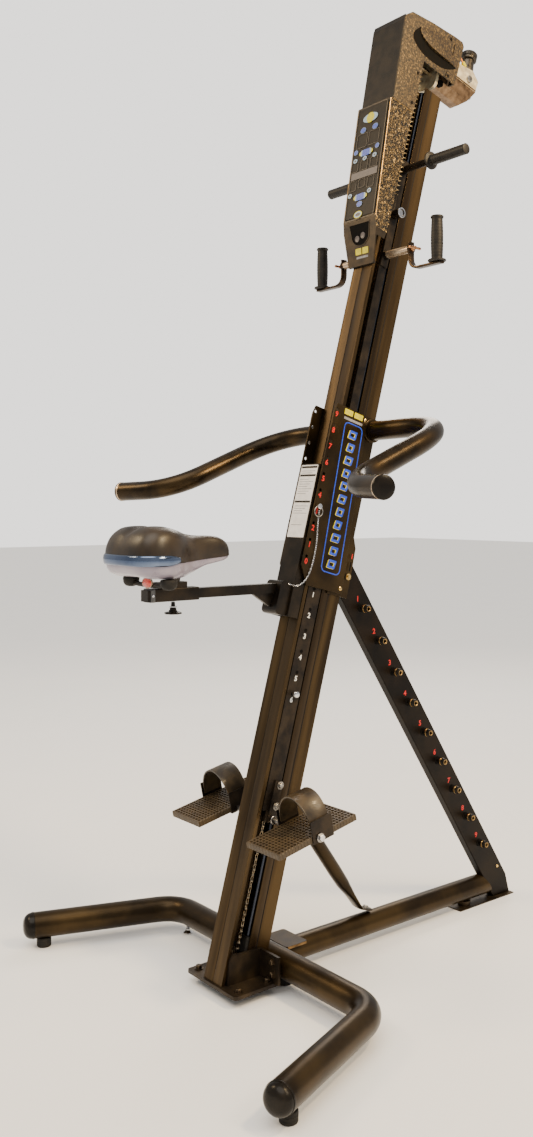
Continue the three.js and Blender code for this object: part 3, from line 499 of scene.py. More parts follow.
waist = np.array([(-3, 0), (-2.1, 2.3), (0, 3.2), (2.5, 2.4), (6.35, 1.7), (10.2, 2.4), (12.7, 3.2), (14.8, 2.3),
                  (15.7, 0), (14.8, -2.3), (12.7, -3.2), (10.2, -2.4), (6.35, -1.7), (2.5, -2.4), (0, -3.2),
                  (-2.1, -2.3)])
cheeks = []
for inner in (True, False):
    for side in (-1, 1):
        low = CHAIN_DEPTH + side * (2.0 if inner else 2.9) - 0.4
        cheeks.append((inner, plate(waist, low, low + 0.8)))
roller = turned([(-1.6, 2.9), (1.6, 2.9)], (0, 0, 0), (0, 0, 1), 8)
roller = (roller[0] + (0, 0, CHAIN_DEPTH), roller[1])


def laid(shell, chosen):
    """Copies of a link's shell laid along the loop: its first axis follows the run and its second leans out."""
    points, faces = shell
    u, v, depth = points.T
    x = pin_x[chosen, None] + along_x[chosen, None] * u + along_s[chosen, None] * v
    s = pin_s[chosen, None] + along_s[chosen, None] * u - along_x[chosen, None] * v
    copies = len(chosen)
    spread = np.stack([x, np.broadcast_to(depth, x.shape), s], -1).reshape(-1, 3)
    return spread, [[k + n * len(u) for k in face] for n in range(copies) for face in faces]


chain_steel = enamel("chain_steel", (0.24, 0.19, 0.13), (0.58, 0.48, 0.34), 1.0, 0.28, cloud=220, fleck=2000,
                     bump=0.06)
odd, even = np.arange(1, link_count, 2), np.arange(0, link_count, 2)
made("chain", [chain_steel],
     [laid(shell, even if inner else odd) for inner, shell in cheeks]
     + [laid(roller, np.arange(link_count))], on_mast)

# ---- Sprockets ----
# Nine-tooth steel sprockets turn on short shafts at the two ends of the mast. Their teeth are kept small, so that
# they clear the rollers at every angle: the chain itself stands still.
tooth_angle = np.arange(108) * 2 * np.pi / 108
tooth_r = 13.4 + 2.2 * np.clip((-0.55 - np.cos(9 * tooth_angle)) / 0.45, 0, 1)
tooth_rim = tooth_r[:, None] * np.stack([np.cos(tooth_angle), np.sin(tooth_angle)], -1)
for name, s, rear in (("top_sprocket", CHAIN_HIGH, 84), ("bottom_sprocket", CHAIN_LOW, 43)):
    wheel = plate(tooth_rim, 34.6, 37.4, (0, 2, 1))
    wheel = (wheel[0] + (0, 0, s), wheel[1])
    boss = turned([(0, 5), (0.5, 8.5), (3, 9), (4.5, 5), (rear - 30, 5)], (0, 30, s), (0, 1, 0), 24)
    made(name, [chain_steel], [wheel, boss], on_mast)

# ---- Guide rods ----
# A ground steel rod in each chamber guides the carriage; a rubber stop sits round its foot.
rod_steel = enamel("rod_steel", (0.035, 0.038, 0.048), (0.085, 0.092, 0.115), 1.0, 0.24, cloud=30, fleck=1800,
                   bump=0.04, stretch=10.0)
for side, word in SIDES:
    shaft = turned([(0, 7), (1, 8), (2183, 8), (2184, 7)], (17 * side, 62, 108), (0, 0, 1), 28)
    stop = plate(rounded(min(5 * side, 31.2 * side), max(5 * side, 31.2 * side), 49, 76.7, 4), 104, 140)
    made("guide_rod_" + word, [rod_steel, rubber_black],
         [(*shaft, 0), (*stop, 1)], on_mast)

# ---- Foot carriages and lock pins ----
# A steel block runs on each guide rod and carries the long tube with six height holes, numbered in white; each
# hole is drawn as a dark disc of painted shade. A spring pin with a turned head locks the hand bar in one of them.
carriage_black = enamel("carriage_black", (0.013, 0.010, 0.008), (0.034, 0.024, 0.015), 0.6, 0.38, cloud=30,
                        fleck=1500, bump=0.12, shine=0.3)
ink_white = enamel("ink_white", (0.66, 0.66, 0.64), (0.80, 0.80, 0.78), 0.0, 0.5, cloud=200, fleck=1500)
# Near-black painted shade for holes, slots, sockets, the pocket, the port and the scoop's underside; the head's dark
# seams use it as their own colour.
hole_shade_and_seam = enamel("hole_shade_and_seam", (0.001, 0.001, 0.001), (0.004, 0.003, 0.002), 0.0, 0.8, cloud=100, fleck=900,
                   shine=0.1)


def numeral(text, size, centre, reading, up, thick=0.25):
    """A printed number as a thin solid: the built-in font's flat outline, centred, laid out along the reading
    and up directions from its centre, in drawing or mast millimetres."""
    curve = bpy.data.curves.new("print", "FONT")
    curve.body = text
    curve.size = size
    curve.align_x, curve.align_y = "CENTER", "CENTER"
    curve.resolution_u = 3
    curve.extrude = thick
    curve.offset = size * 0.026
    words = bpy.data.objects.new("print", curve)
    bpy.context.scene.collection.objects.link(words)
    bpy.context.view_layer.update()
    mesh = bpy.data.meshes.new_from_object(words.evaluated_get(bpy.context.evaluated_depsgraph_get()))
    flat = np.empty(len(mesh.vertices) * 3)
    mesh.vertices.foreach_get("co", flat)
    faces = [list(face.vertices) for face in mesh.polygons]
    bpy.data.objects.remove(words)
    bpy.data.curves.remove(curve)
    bpy.data.meshes.remove(mesh)
    flat = flat.reshape(-1, 3)
    reading, up = np.asarray(reading, float), np.asarray(up, float)
    out = np.cross(reading, up)
    return np.asarray(centre, float) + flat[:, :1] * reading + flat[:, 1:2] * up + flat[:, 2:] * out, faces


for side, word in SIDES:
    soften("foot_carriage_" + word, [carriage_black], 0.6)
    marks, hole_shades = [], []
    for i in range(6):
        s = 701 + HAND_HOLE_STEP * i
        marks.append(numeral(str(6 - i), 17, (34.3 * side, 31, s - 15), (0, side, 0), (0, 0, 1)))
        # Painted shade: each height hole is a thin near-black disc on the tube's face.
        hole_shades.append(turned([(0, 4.3), (0.35, 4.3), (0.35, 3.6), (0.1, 3.6)], (34.05 * side, 31, s), (side, 0, 0), 20))
    put("height_numbers_" + word, word + "_foot", [ink_white], marks, on_mast)
    put("height_hole_shade_" + word, word + "_foot", [hole_shade_and_seam], hole_shades, on_mast)
    nuts = [part for s in (440, 488) for part in hex_bolt((40.2 * side, 46, s), (side, 0, 0), 11, 6, 1.2)]
    put("carriage_bolts_" + word, word + "_foot", [bolt_steel], nuts, on_mast)
    pin_profile = [(0, 3.4), (10, 3.4), (10.4, 6.2), (11.2, 7), (13.4, 7), (14.2, 6.4), (15, 6.4), (15.8, 7),
                   (17, 7), (17.8, 5.6), (18, 0.5)]
    made("lock_pin_" + word, [bright],
         [turned(pin_profile, (34.4 * side, 31, 701), (side, 0, 0), 28)], on_mast)

# ---- Pedal axles ----
# A plated steel axle is screwed into each carriage and carries the pedal; a large hex head holds the pedal on.
axle_grey = enamel("axle_grey", (0.30, 0.28, 0.26), (0.52, 0.50, 0.47), 1.0, 0.28, cloud=80, fleck=1800, bump=0.06)
AXLE_D, AXLE_S = 40.7, 409.6
axle_profile = [(0, 9), (1, 9.6), (9, 9.6), (10, 8.6), (46, 8.6), (47.5, 7.5), (48, 4.4), (174.3, 4.4), (174.5, 10.2),
                (176, 10.2), (176.1, 5)]
for side, word in SIDES:
    shaft = turned(axle_profile, (40.3 * side, AXLE_D, AXLE_S), (side, 0, 0), 32)
    head = hex_bolt((216.2 * side, AXLE_D, AXLE_S), (side, 0, 0), 15, 6.2)
    made("pedal_axle_" + word, [axle_grey, bright],
         [(*shaft, 0)] + [(*part, 1) for part in head], on_mast)

# ---- Pedals ----
# A moulded rubber tread plate with rows of rectangular pockets and a toothed rim. It swings on the axle and rests a
# little nose-down.
PEDAL_IN, PEDAL_OUT, PEDAL_HALF, PEDAL_TOP = 94.0, 210.6, 114.35, 7.0
TILT = np.radians(11.9)
axle_at = np.array([0.0, AXLE_D * COSINE + AXLE_S * SINE, AXLE_S * COSINE - AXLE_D * SINE])


def on_pedal(points):
    """Pedal millimetres, from the axle's middle line and tilted with the tread, to metres."""
    x, y, z = np.moveaxis(np.asarray(points, float), -1, 0)
    turned_points = np.stack([x, y * np.cos(TILT) - z * np.sin(TILT), y * np.sin(TILT) + z * np.cos(TILT)], -1)
    return on_floor(turned_points + axle_at)


def lines(low, high, count, margin, wall):
    """Grid lines across a row of pockets: for each pocket its two rim lines and two floor lines, then ends."""
    cell = (high - low - 2 * margin) / count
    start = low + margin + cell * np.arange(count)[:, None]
    inside = np.array([wall, wall + 0.5, cell - wall - 0.5, cell - wall])
    level = np.concatenate([[0, 0], np.tile([0.0, 1.0, 1.0, 0.0], count), [0, 0]])
    return np.concatenate([[low, low + margin * 0.5], (start + inside).ravel(), [high - margin * 0.5, high]]), level


def tread(side):
    """Both faces as one height field each: top height falls by the pocket depth where both the crosswise and
    lengthwise floor marks are 1, and toothed sides join the two fields round the rim."""
    x, across = lines(PEDAL_IN + 1.2, PEDAL_OUT - 1.2, 10, 2.4, 1.5)
    y, lengthwise = lines(-PEDAL_HALF + 1.2, PEDAL_HALF - 1.2, 25, 2.0, 1.35)
    grid_x, grid_y = np.meshgrid(x, y, indexing="ij")
    sunk = across[:, None] * lengthwise[None, :]
    rows, columns = grid_x.shape
    shells = [(np.stack([side * grid_x, grid_y, face * (PEDAL_TOP - 4.6 * sunk)], -1).reshape(-1, 3),
               quads(rows, columns, False)) for face in (1, -1)]
    edge = np.concatenate([grid_x[:, 0], np.full(columns - 2, x[-1]), grid_x[::-1, -1], np.full(columns - 2, x[0])])
    edge_y = np.concatenate([np.full(rows, y[0]), y[1:-1], np.full(rows, y[-1]), y[-2:0:-1]])
    count = len(edge)
    middle_x = (PEDAL_IN + PEDAL_OUT) / 2
    bulge = np.array([0.0, 1.0, 1.0, 0.0])
    level = np.array([1.0, 0.82, -0.82, -1.0]) * PEDAL_TOP
    toothed = np.where(np.arange(count) % 4 < 2, 1.2, 0.2)
    out_x = edge + np.sign(edge - middle_x) * np.where(np.abs(edge - middle_x) > 57.0, toothed, 0)
    out_y = edge_y + np.sign(edge_y) * np.where(np.abs(edge_y) > 113.0, toothed, 0)
    ring_x = edge + (out_x - edge) * bulge[:, None]
    ring_y = edge_y + (out_y - edge_y) * bulge[:, None]
    rim = np.stack([side * ring_x, ring_y, np.broadcast_to(level[:, None], ring_x.shape)], -1)
    shells.append((rim.reshape(-1, 3), quads(4, count)))
    return shells


tread_brown = enamel("tread_brown", (0.044, 0.029, 0.014), (0.068, 0.045, 0.020), 0.0, 0.50, cloud=40,
                     fleck=1300, bump=0.25, coat=0.05, shine=0.4)
for side, word in SIDES:
    made("pedal_" + word, [tread_brown], tread(side), on_pedal)

# ---- Strap plates and toe straps ----
# A pressed steel cradle grips each pedal and holds the toe strap, a broad band of reinforced rubber bent in an
# arch over the tread and bolted to the cradle's upright plates.
strap_rubber = enamel("strap_rubber", (0.020, 0.0135, 0.007), (0.070, 0.046, 0.020), 0.0, 0.40, cloud=26,
                      fleck=1000, bump=0.20, coat=0.12, shine=0.4)
arch = np.linspace(0.0, np.pi, 33)
for side, word in SIDES:
    soften("strap_cradle_" + word, [carriage_black], 0.5)
    arch_path = np.stack([side * (152.3 + 56.1 * np.cos(arch)), 10 + 0 * arch, 14 + 72.1 * np.sin(arch)], -1)
    narrow = 29 - 5.0 * (1 - np.sin(arch)) ** 1.5
    band = np.array([(-1.0, -1.7), (-0.97, -1.85), (0.97, -1.85), (1.0, -1.7), (1.0, 1.7), (0.97, 1.85), (0.93, 1.85),
                     (0.90, 1.45), (-0.90, 1.45), (-0.93, 1.85), (-0.97, 1.85), (-1.0, 1.7)])
    band_section = np.stack([band[:, 1] + 0 * narrow[:, None], band[:, 0] * narrow[:, None]], -1)
    made("toe_strap_" + word, [strap_rubber],
         [carried(arch_path, band_section, (0.0, 1.0, 0.0))], on_pedal)

# ---- Hand bars ----
# A flat steel bar on each side, with welded round sockets. The upper peg carries a fixed grip, the middle socket
# is spare, with a plated liner, and the lower peg carries the turning handle.
peg_steel = enamel("peg_steel", (0.42, 0.31, 0.21), (0.66, 0.52, 0.37), 0.7, 0.28, cloud=40, fleck=1700, bump=0.05)
grip_foam = enamel("grip_foam", (0.006, 0.005, 0.004), (0.015, 0.012, 0.009), 0.0, 0.50, cloud=60, fleck=700,
                   bump=0.4, shine=0.3)
liner = [(0, 8.6), (0, 12.4), (1.0, 13.0), (2.6, 13.0), (3.2, 12.2), (3.2, 9.2), (-14, 8.4)]
for side, word in SIDES:
    soften("hand_bar_" + word, [carriage_black, peg_steel], 0.6,
           lambda c: (np.abs(c[:, 0]) > 0.0445) & (np.abs(c[:, 0]) < 0.121)
           & (np.abs(c[:, 2] - float(on_mast((0, 38, 1821))[2])) < 0.02))
    put("socket_ring_" + word, word + "_hand", [bright],
        [turned(liner, (60 * side, 38, 1932), (side, 0, 0), 28)], on_mast)
    at = np.linspace(0, 112, 57)
    ridge = 13.3 + 0.35 * np.cos(at * 2 * np.pi / 8) - 0.5 * (at / 112)
    grip = [(-1.5, 9.8), (-1.5, 21), (-0.5, 22), (3.2, 22), (4, 21), (4.6, 15)]
    grip += list(zip(5 + at, ridge)) + [(118, 12.4), (118.6, 11), (118.6, 0)]
    made("upper_grip_" + word, [grip_foam],
         [turned(grip, (130 * side, 38, 2057), (side, 0, 0), 32)], on_mast)

# ---- Turning handles ----
# A flat plated bar bent round into a J hangs on the lower peg and carries an upright moulded grip. A copper-toned
# T screw through its eye clamps it at any angle.
hook_dark = enamel("hook_dark", (0.022, 0.015, 0.010), (0.072, 0.046, 0.026), 0.9, 0.26, cloud=50, fleck=1500,
                   bump=0.06)
copper = enamel("copper_tone", (0.26, 0.11, 0.05), (0.46, 0.24, 0.12), 1.0, 0.26, cloud=120, fleck=1600, bump=0.04)
HANDLE_Y = 38 * COSINE + 1821 * SINE
HANDLE_Z = 1821 * COSINE - 38 * SINE
blade = rounded(-3, 3, -9, 9, 1.6, 4)
for side, word in SIDES:
    bar_path = route([(124 * side, HANDLE_Y, HANDLE_Z + 16), (124 * side, HANDLE_Y, HANDLE_Z - 50),
                      (226 * side, HANDLE_Y, HANDLE_Z - 50)], [30], step=4)
    eye = [turned([(-3.3, 9.9), (-3.3, 11.6), (3.3, 11.6), (3.3, 9.9)], (124 * side, HANDLE_Y, HANDLE_Z),
                  (side, 0, 0), 32)]
    made("handle_hook_" + word, [hook_dark],
         [carried(bar_path, blade, (0.0, 1.0, 0.0))] + eye, sharp=40)
    up = np.linspace(0, 1, 41)
    barrel = 12.9 + 2.0 * np.sin(np.pi * (0.12 + 0.8 * up)) + 0.22 * np.cos(up * 2 * np.pi * 13)
    handle = [(0.3, 3), (0.3, 20.8), (1.3, 22), (4.2, 22), (5.4, 20.6), (6, 15)]
    handle += list(zip(7 + 96 * up, barrel)) + [(105, 15.6), (108, 15.6), (110, 14), (111, 10), (111.4, 0)]
    made("handle_grip_" + word, [grip_foam],
         [turned(handle, (211 * side, HANDLE_Y, HANDLE_Z - 47), (0, 0, 1), 32)])
    screw_body = turned([(0.4, 3.2), (4, 3.2), (4.1, 9), (5.2, 9), (5.3, 7), (11, 7), (12.5, 5.6), (19.5, 4.6),
                         (20, 3)], (120 * side, HANDLE_Y, HANDLE_Z), (side, 0, 0), 28)
    cross_bar = turned([(0, 2.6), (1, 3.4), (5, 3.6), (19, 2.9), (33, 3.6), (37, 3.4), (38, 2.6)],
                       (137.5 * side, HANDLE_Y - 19, HANDLE_Z), (0, 1, 0), 20)
    made("clamp_screw_" + word, [copper], [screw_body, cross_bar])

# ---- Collar plates ----
# Two laser-cut steel plates clamp the seat post's channel and the mast. Each has ten seat height holes numbered in
# red, a blue pinstripe round a column of plain yellow and blue blocks, and brass screws at its corners.
ink_red = enamel("ink_red", (0.52, 0.002, 0.002), (0.66, 0.006, 0.004), 0.0, 0.45, cloud=200, fleck=1500)
ink_blue = enamel("ink_blue", (0.010, 0.050, 0.50), (0.020, 0.085, 0.70), 0.0, 0.40, cloud=200, fleck=1500)
ink_yellow = enamel("ink_yellow", (0.52, 0.45, 0.0), (0.66, 0.57, 0.0), 0.0, 0.42, cloud=200, fleck=1500)
ink_grey = enamel("ink_grey", (0.20, 0.19, 0.20), (0.30, 0.29, 0.30), 0.0, 0.5, cloud=200, fleck=1500)
brass = enamel("brass_screw", (0.45, 0.30, 0.10), (0.72, 0.52, 0.22), 1.0, 0.25, cloud=160, fleck=1800, bump=0.05)


def bar(points, x0, x1):
    """A thin raised print on a side face: its outline in depth and distance up the mast, from x0 to x1."""
    return plate(points, x0, x1, (1, 2, 0))


def stripe(outer, inner, low, high, axes=(1, 2, 0)):
    """A closed printed line from low to high: the outer outline joined to the inner one; axes as for plate."""
    flat = np.concatenate([np.c_[r, np.full(len(r), h)] for r, h in (
        (outer, low), (outer, high), (inner, high), (inner, low), (outer, low))])
    points = np.empty_like(flat)
    points[:, list(axes)] = flat
    return points, quads(5, len(outer))


for side, word in SIDES:
    soften("collar_plate_" + word, [frame_black], 0.7)
    face = COLLAR_FACE * side
    top = face + 0.35 * side
    numbers = [numeral(str(i), 18, (face, -19, 1011.5 + SEAT_HOLE_STEP * i), (0, side, 0), (0, 0, 1))
               for i in range(10)]
    put("seat_numbers_" + word, "root", [ink_red], numbers, on_mast)
    lean = np.array([[1.0, -0.052], [0.0, 1.0]])
    outer = (rounded(-31, 31, -186, 186, 13) @ lean.T) + (52.0, 1186)
    inner = (rounded(-28.4, 28.4, -183.4, 183.4, 11) @ lean.T) + (52.0, 1186)
    put("pinstripe_" + word, "root", [ink_blue], [stripe(outer, inner, face - side * 0.1, top)], on_mast)
    blocks, shadows = [], []
    for i in range(11):
        s = 1345 - 32.2 * i
        depth = 52.0 - 0.052 * (s - 1186)
        wide = (17, 15, 17, 15, 16, 17, 15, 15, 18, 16, 17)[i]
        slant = np.array([[1.0, 0.0], [0.16, 1.0]])
        big = rounded(-wide * 0.72, wide * 0.72, -10.5, 10.5, 2.5) @ slant
        small = rounded(-wide * 0.72 + 5, wide * 0.72 - 5, -4.5, 4.5, 1.0) @ slant
        blocks.append(stripe(big + (depth - 1.5, s - 1), small + (depth - 1.5, s - 1), face - 0.1 * side, top))
        shadows.append(stripe(big + (depth + 1, s), small + (depth + 1, s), face - 0.1 * side, top + 0.2 * side))
    put("print_blocks_" + word, "root", [ink_yellow], blocks, on_mast)
    put("print_shadows_" + word, "root", [ink_blue], shadows, on_mast)
    crest = [bar(rounded(4, 32, 1388, 1402, 1.5), face, top), bar(rounded(37, 66, 1388, 1402, 1.5), face, top)]
    put("print_crest_" + word, "root", [ink_yellow], crest, on_mast)
    put("print_underline_" + word, "root", [ink_grey],
        [bar(rounded(6, 68, 1376, 1382, 1.0), face, top)], on_mast)
    screws = []
    for depth, s in ((75, 1393), (104, 972)):
        screws.append(turned([(0, 5.2), (1.4, 5.0), (2.6, 3.4), (3.0, 0.0)], (face, depth, s), (side, 0, 0), 20))
    put("collar_screws_" + word, "root", [brass], screws, on_mast)

# ---- Rear channel and strut bolt ----
# A folded steel channel wraps the back of the mast between the collar plates. Its lower ears take the bolt on
# which the rear strut hangs; the right ear has a slot of painted shade and a red number above the bolt.
soften("rear_channel", [frame_black], 0.8)
bolt_parts = []
for side in (1, -1):
    bolt_parts += hex_bolt((43 * side, 122, 1005.5), (side, 0, 0), 9.5, 6, 1.5)
put("strut_bolt", "root", [brass], bolt_parts, on_mast)
# Painted shade: the slot is a near-black strip on the right ear.
put("ear_slot_shade", "root", [hole_shade_and_seam], [bar(rounded(120.4, 123.6, 1019, 1043, 1.5), 42.6, 43.4)], on_mast)
put("ear_number", "root", [ink_red], [numeral("1", 17, (43, 121.5, 1056), (0, 1, 0), (0, 0, 1))],
    on_mast)

# ---- Rear strut ----
# A 1 x 3 inch steel tube slopes from the channel down to the floor plate. Nine hollow black knobs with brass clips
# stand out of its right side, each with a number in red and a ring of painted shade round its foot.
strut_aim = (STRUT_BOTTOM - STRUT_TOP) / np.linalg.norm(STRUT_BOTTOM - STRUT_TOP)
strut_rear = np.array([-strut_aim[1], strut_aim[0]])
strut_long = np.linalg.norm(STRUT_BOTTOM - STRUT_TOP)


def on_strut(along, across):
    """y and z of a place on the strut: so far down its front edge and so far behind it."""
    return STRUT_TOP + strut_aim * along + strut_rear * across


def mast_back(across):
    """Where a line down the strut at the given across distance leaves the channel's back face."""
    start = on_strut(-160, across)
    depth = start[0] * COSINE - start[1] * SINE
    fall = strut_aim[0] * COSINE - strut_aim[1] * SINE
    return start + strut_aim * (CHANNEL_BACK - depth) / fall


outline = [mast_back(0), on_strut(strut_long, 0), on_strut(strut_long, 0) + (72, 0),
           on_strut(strut_long - 14, STRUT_DEEP), mast_back(STRUT_DEEP)]
strut_paint = enamel("strut_paint", (0.0032, 0.0020, 0.0012), (0.0095, 0.0060, 0.0033), 0.0, 0.42, cloud=12,
                     fleck=1500, bump=0.10, spread=0.06, shine=0.12)
made("rear_strut", [strut_paint],
     [plate(outline, -STRUT_HALF, STRUT_HALF, (1, 2, 0))], bevel=3.0)
knob = [(0, 4.2), (9, 4.2), (9.2, 8.6), (10, 9.6), (19, 9.9), (27.5, 9.3), (29, 8.2), (29, 5.6), (20, 5.2), (20, 0)]
clip = [(28.4, 4.2), (29.4, 5.6), (29.4, 6.9), (28.4, 7.4)]
knobs, clips, numbers, socket_shades = [], [], [], []
for i in range(9):
    y, z = on_strut(118 + KNOB_STEP * i, 40)
    knobs.append(turned(knob, (STRUT_HALF, y, z), (1, 0, 0), 28))
    clips.append(turned([(13.5, 9.9), (14.2, 10.5), (17.4, 10.5), (18.1, 9.9)], (STRUT_HALF, y, z), (1, 0, 0), 28))
    clips.append(turned(clip, (STRUT_HALF, y, z), (1, 0, 0), 20))
    # Painted shade: a near-black ring round each knob's foot, where it meets the strut.
    socket_shades.append(turned([(-0.1, 11), (0.8, 10.6), (0.9, 4)], (STRUT_HALF, y, z), (1, 0, 0), 24))
    y, z = on_strut(92 + KNOB_STEP * i, 43)
    numbers.append(numeral(str(i + 1), 19, (STRUT_HALF, y, z), (0, 1, 0), (0, 0, 1)))
cap_gold = enamel("clip_gold", (0.20, 0.12, 0.05), (0.42, 0.28, 0.12), 1.0, 0.30, cloud=120, fleck=1600)
put("strut_knobs", "root", [cap_black], knobs)
put("strut_knob_clips", "root", [cap_gold], clips)
put("strut_socket_shade", "root", [hole_shade_and_seam], socket_shades)
put("strut_numbers", "root", [ink_red], numbers)
y, z = on_strut(strut_long - 60, 60)
put("strut_foot_bolt", "root", [brass],
    [turned([(0, 4.6), (1.6, 4.4), (3, 2.8), (3.3, 0)], (STRUT_HALF, y, z), (1, 0, 0), 20)])

# ---- Handlebars ----
# Bent steel tubes fixed behind the collar run out, forward and down on both sides. They are painted satin black,
# and glossy plastic caps with a plated ring close their ends.
BAR_END, BAR_ELBOW = np.array([497.0, 62.0, 1149.0]), np.array([333.0, 113.0, 1154.5])
bar_gloss = enamel("bar_black", (0.014, 0.0088, 0.0038), (0.040, 0.0245, 0.0092), 0.75, 0.30, cloud=16, fleck=1500,
                   bump=0.09, spread=0.05, shine=0.35)
for side, word in SIDES:
    mirror = np.array([side, 1, 1])
    path = route(np.array([[47, 466, 1300], [322, 465, 1304], BAR_ELBOW, BAR_END]) * mirror, [165, 145], 6)
    made("handlebar_" + word, [bar_gloss],
         [carried(path, circle(24.4, 40), (0.06, -0.38, 0.92))])
    cap = turned([(-10, 20), (0.5, 20.2), (0.6, 24.6), (2.4, 25.2), (5, 24.2), (6.8, 20), (7.6, 13), (7.9, 0)],
                 BAR_END * mirror, (BAR_END - BAR_ELBOW) * mirror, 36)
    ring = turned([(-3.2, 24.5), (-2.9, 24.95), (0.3, 24.95), (0.5, 24.5)], BAR_END * mirror,
                  (BAR_END - BAR_ELBOW) * mirror, 36)
    made("handlebar_cap_" + word, [cap_black, peg_steel],
         [(*cap, 0), (*ring, 1)])
    put("handlebar_flange_" + word, "root", [frame_black],
        [turned([(0, 30), (3, 30), (3.6, 29), (3.8, 24.8)], (38.5 * side, 466, 1299.9), (side, 0, 0), 36)])

# ---- Head casing ----
# A moulded shell with a gold-brown fleck texture covers the top sprocket. A leaf-shaped air scoop is pressed out
# of each side with a crescent of painted shade under its lip, and dark screws hold the shell to the mast.
def flecked(name, dark, light, spot, grain, depth, metal, rough):
    """A speckled, hammered finish: cells and a noise push the surface in and out, and the same noise runs the
    colour from dark through light to bright spots."""
    finish, shader, add, wire = new_finish(name)
    where = add("TexCoord").outputs["Object"]
    cells = add("TexVoronoi", Scale=grain)
    cloud = add("TexNoise", Scale=grain * 0.45, Detail=8, Roughness=0.72)
    tint = ramp(add, (0.45, dark), (0.57, light), (0.66, spot))
    height = add("Math")
    height.operation = "MULTIPLY_ADD"
    height.inputs[1].default_value = 0.8
    lift = add("Bump", Strength=depth, Distance=0.0012)
    for pattern in (cells, cloud):
        wire(where, pattern.inputs["Vector"])
    wire(cloud.outputs["Fac"], tint.inputs["Fac"])
    wire(cells.outputs["Distance"], height.inputs[0])
    wire(cloud.outputs["Fac"], height.inputs[2])
    wire(height.outputs["Value"], lift.inputs["Height"])
    wire(tint.outputs["Color"], shader.inputs["Base Color"])
    wire(lift.outputs["Normal"], shader.inputs["Normal"])
    shader.inputs["Metallic"].default_value = metal
    shader.inputs["Roughness"].default_value = rough
    return finish


casing_fleck = flecked("casing_fleck", (0.012, 0.0075, 0.003), (0.080, 0.050, 0.0175), (0.26, 0.17, 0.064), 420,
                       0.35, 0.35, 0.42)
panel_black = enamel("panel_black", (0.0075, 0.0055, 0.0040), (0.020, 0.0145, 0.0092), 0.0, 0.46, cloud=40,
                     fleck=1500, bump=0.30, shine=0.22)
soften("head_casing", [casing_fleck], 1.6)
soften("head_front_cover", [panel_black], 1.6)


LIP = np.array([(-20, 2422), (-21.5, 2413), (-10.5, 2400.5), (15.5, 2391), (51, 2388), (90, 2389.5), (124, 2389)])
SCOOP_SHADE_EDGE = np.array([(-21, 2424), (-41, 2400), (-40, 2384), (-25, 2371), (4, 2361), (43, 2358.5), (89, 2364), (124, 2386)])
BROW = np.array([(-20, 2423), (8, 2439), (48, 2447), (90, 2443), (124, 2391)])


def along_curve(stations, count):
    """Points spread evenly along a smooth line near the stations: corners are cut three times, then measured."""
    line = np.asarray(stations, float)
    for _ in range(3):
        cut_line = np.stack([0.75 * line[:-1] + 0.25 * line[1:], 0.25 * line[:-1] + 0.75 * line[1:]], 1)
        line = np.concatenate([line[:1], cut_line.reshape(-1, 2), line[-1:]])
    walk = np.concatenate([[0], np.cumsum(np.linalg.norm(np.diff(line, axis=0), axis=1))])
    even = np.linspace(0, walk[-1], count)
    return np.stack([np.interp(even, walk, line[:, k]) for k in range(2)], -1)


def scoop(side):
    """The pressed scoop: straight lines from the raised lip (share 0) to the brow (share 1), standing out most
    at the lip's middle and running into the side along the brow."""
    low, high = along_curve(LIP, 40), along_curve(BROW, 40)
    share = np.linspace(0, 1, 14)[None, :, None]
    swell = np.sin(np.pi * np.linspace(0.02, 0.98, 40)) ** 0.55
    flat = low[:, None] + (high - low)[:, None] * share
    out = 57.0 - 0.6 + 7.0 * swell[:, None] * np.cos(share[..., 0] * np.pi / 2) ** 0.9 + 0.4 * swell[:, None]
    skin = np.stack([side * out, flat[..., 0], flat[..., 1]], -1)
    inner = skin.copy()
    inner[..., 0] = side * 56.2
    count = 40 * 14
    rows = np.arange(40) * 14
    edge = np.concatenate([np.arange(14), rows[1:] + 13, rows[-1] + np.arange(12, -1, -1), rows[-2:0:-1]])
    wall = [[int(a), int(b), int(b) + count, int(a) + count] for a, b in zip(edge, np.roll(edge, -1))]
    faces = quads(40, 14, False)
    points = np.concatenate([skin.reshape(-1, 3), inner.reshape(-1, 3)])
    return points, faces + [[k + count for k in face] for face in faces] + wall


for side, word in SIDES:
    put("head_scoop_" + word, "root", [casing_fleck], [scoop(side)], on_mast, sharp=50)
    # Painted shade: a near-black crescent under the scoop's lip, where its lower side faces down.
    crescent = np.concatenate([along_curve(SCOOP_SHADE_EDGE, 40), along_curve(LIP, 40)[::-1]])
    put("head_scoop_shade_" + word, "root", [hole_shade_and_seam], [bar(crescent, 56.5 * side, 57.5 * side)], on_mast)
    seam = [bar([(104, 2449), (106.5, 2449), (108, 2392), (105.5, 2392)], 56.6 * side, 57.4 * side)]
    seam.append(bar([(96, 2364), (98.5, 2364), (95, 2347), (92.5, 2347)], 56.6 * side, 57.4 * side))
    seam.append(bar(rounded(86, 93, 2450, 2458, 1), 56.6 * side, 57.6 * side))
    put("head_seam_" + word, "root", [hole_shade_and_seam], seam, on_mast)
    screws = [turned([(0, 4.2), (1.2, 4.0), (2.0, 2.8), (1.2, 2.2), (0.9, 0)], (57 * side, depth, s), (side, 0, 0), 20)
              for depth, s in ((1, 2304), (1.5, 2221), (104, 2355))]
    put("head_screws_" + word, "root", [cap_black], screws, on_mast)

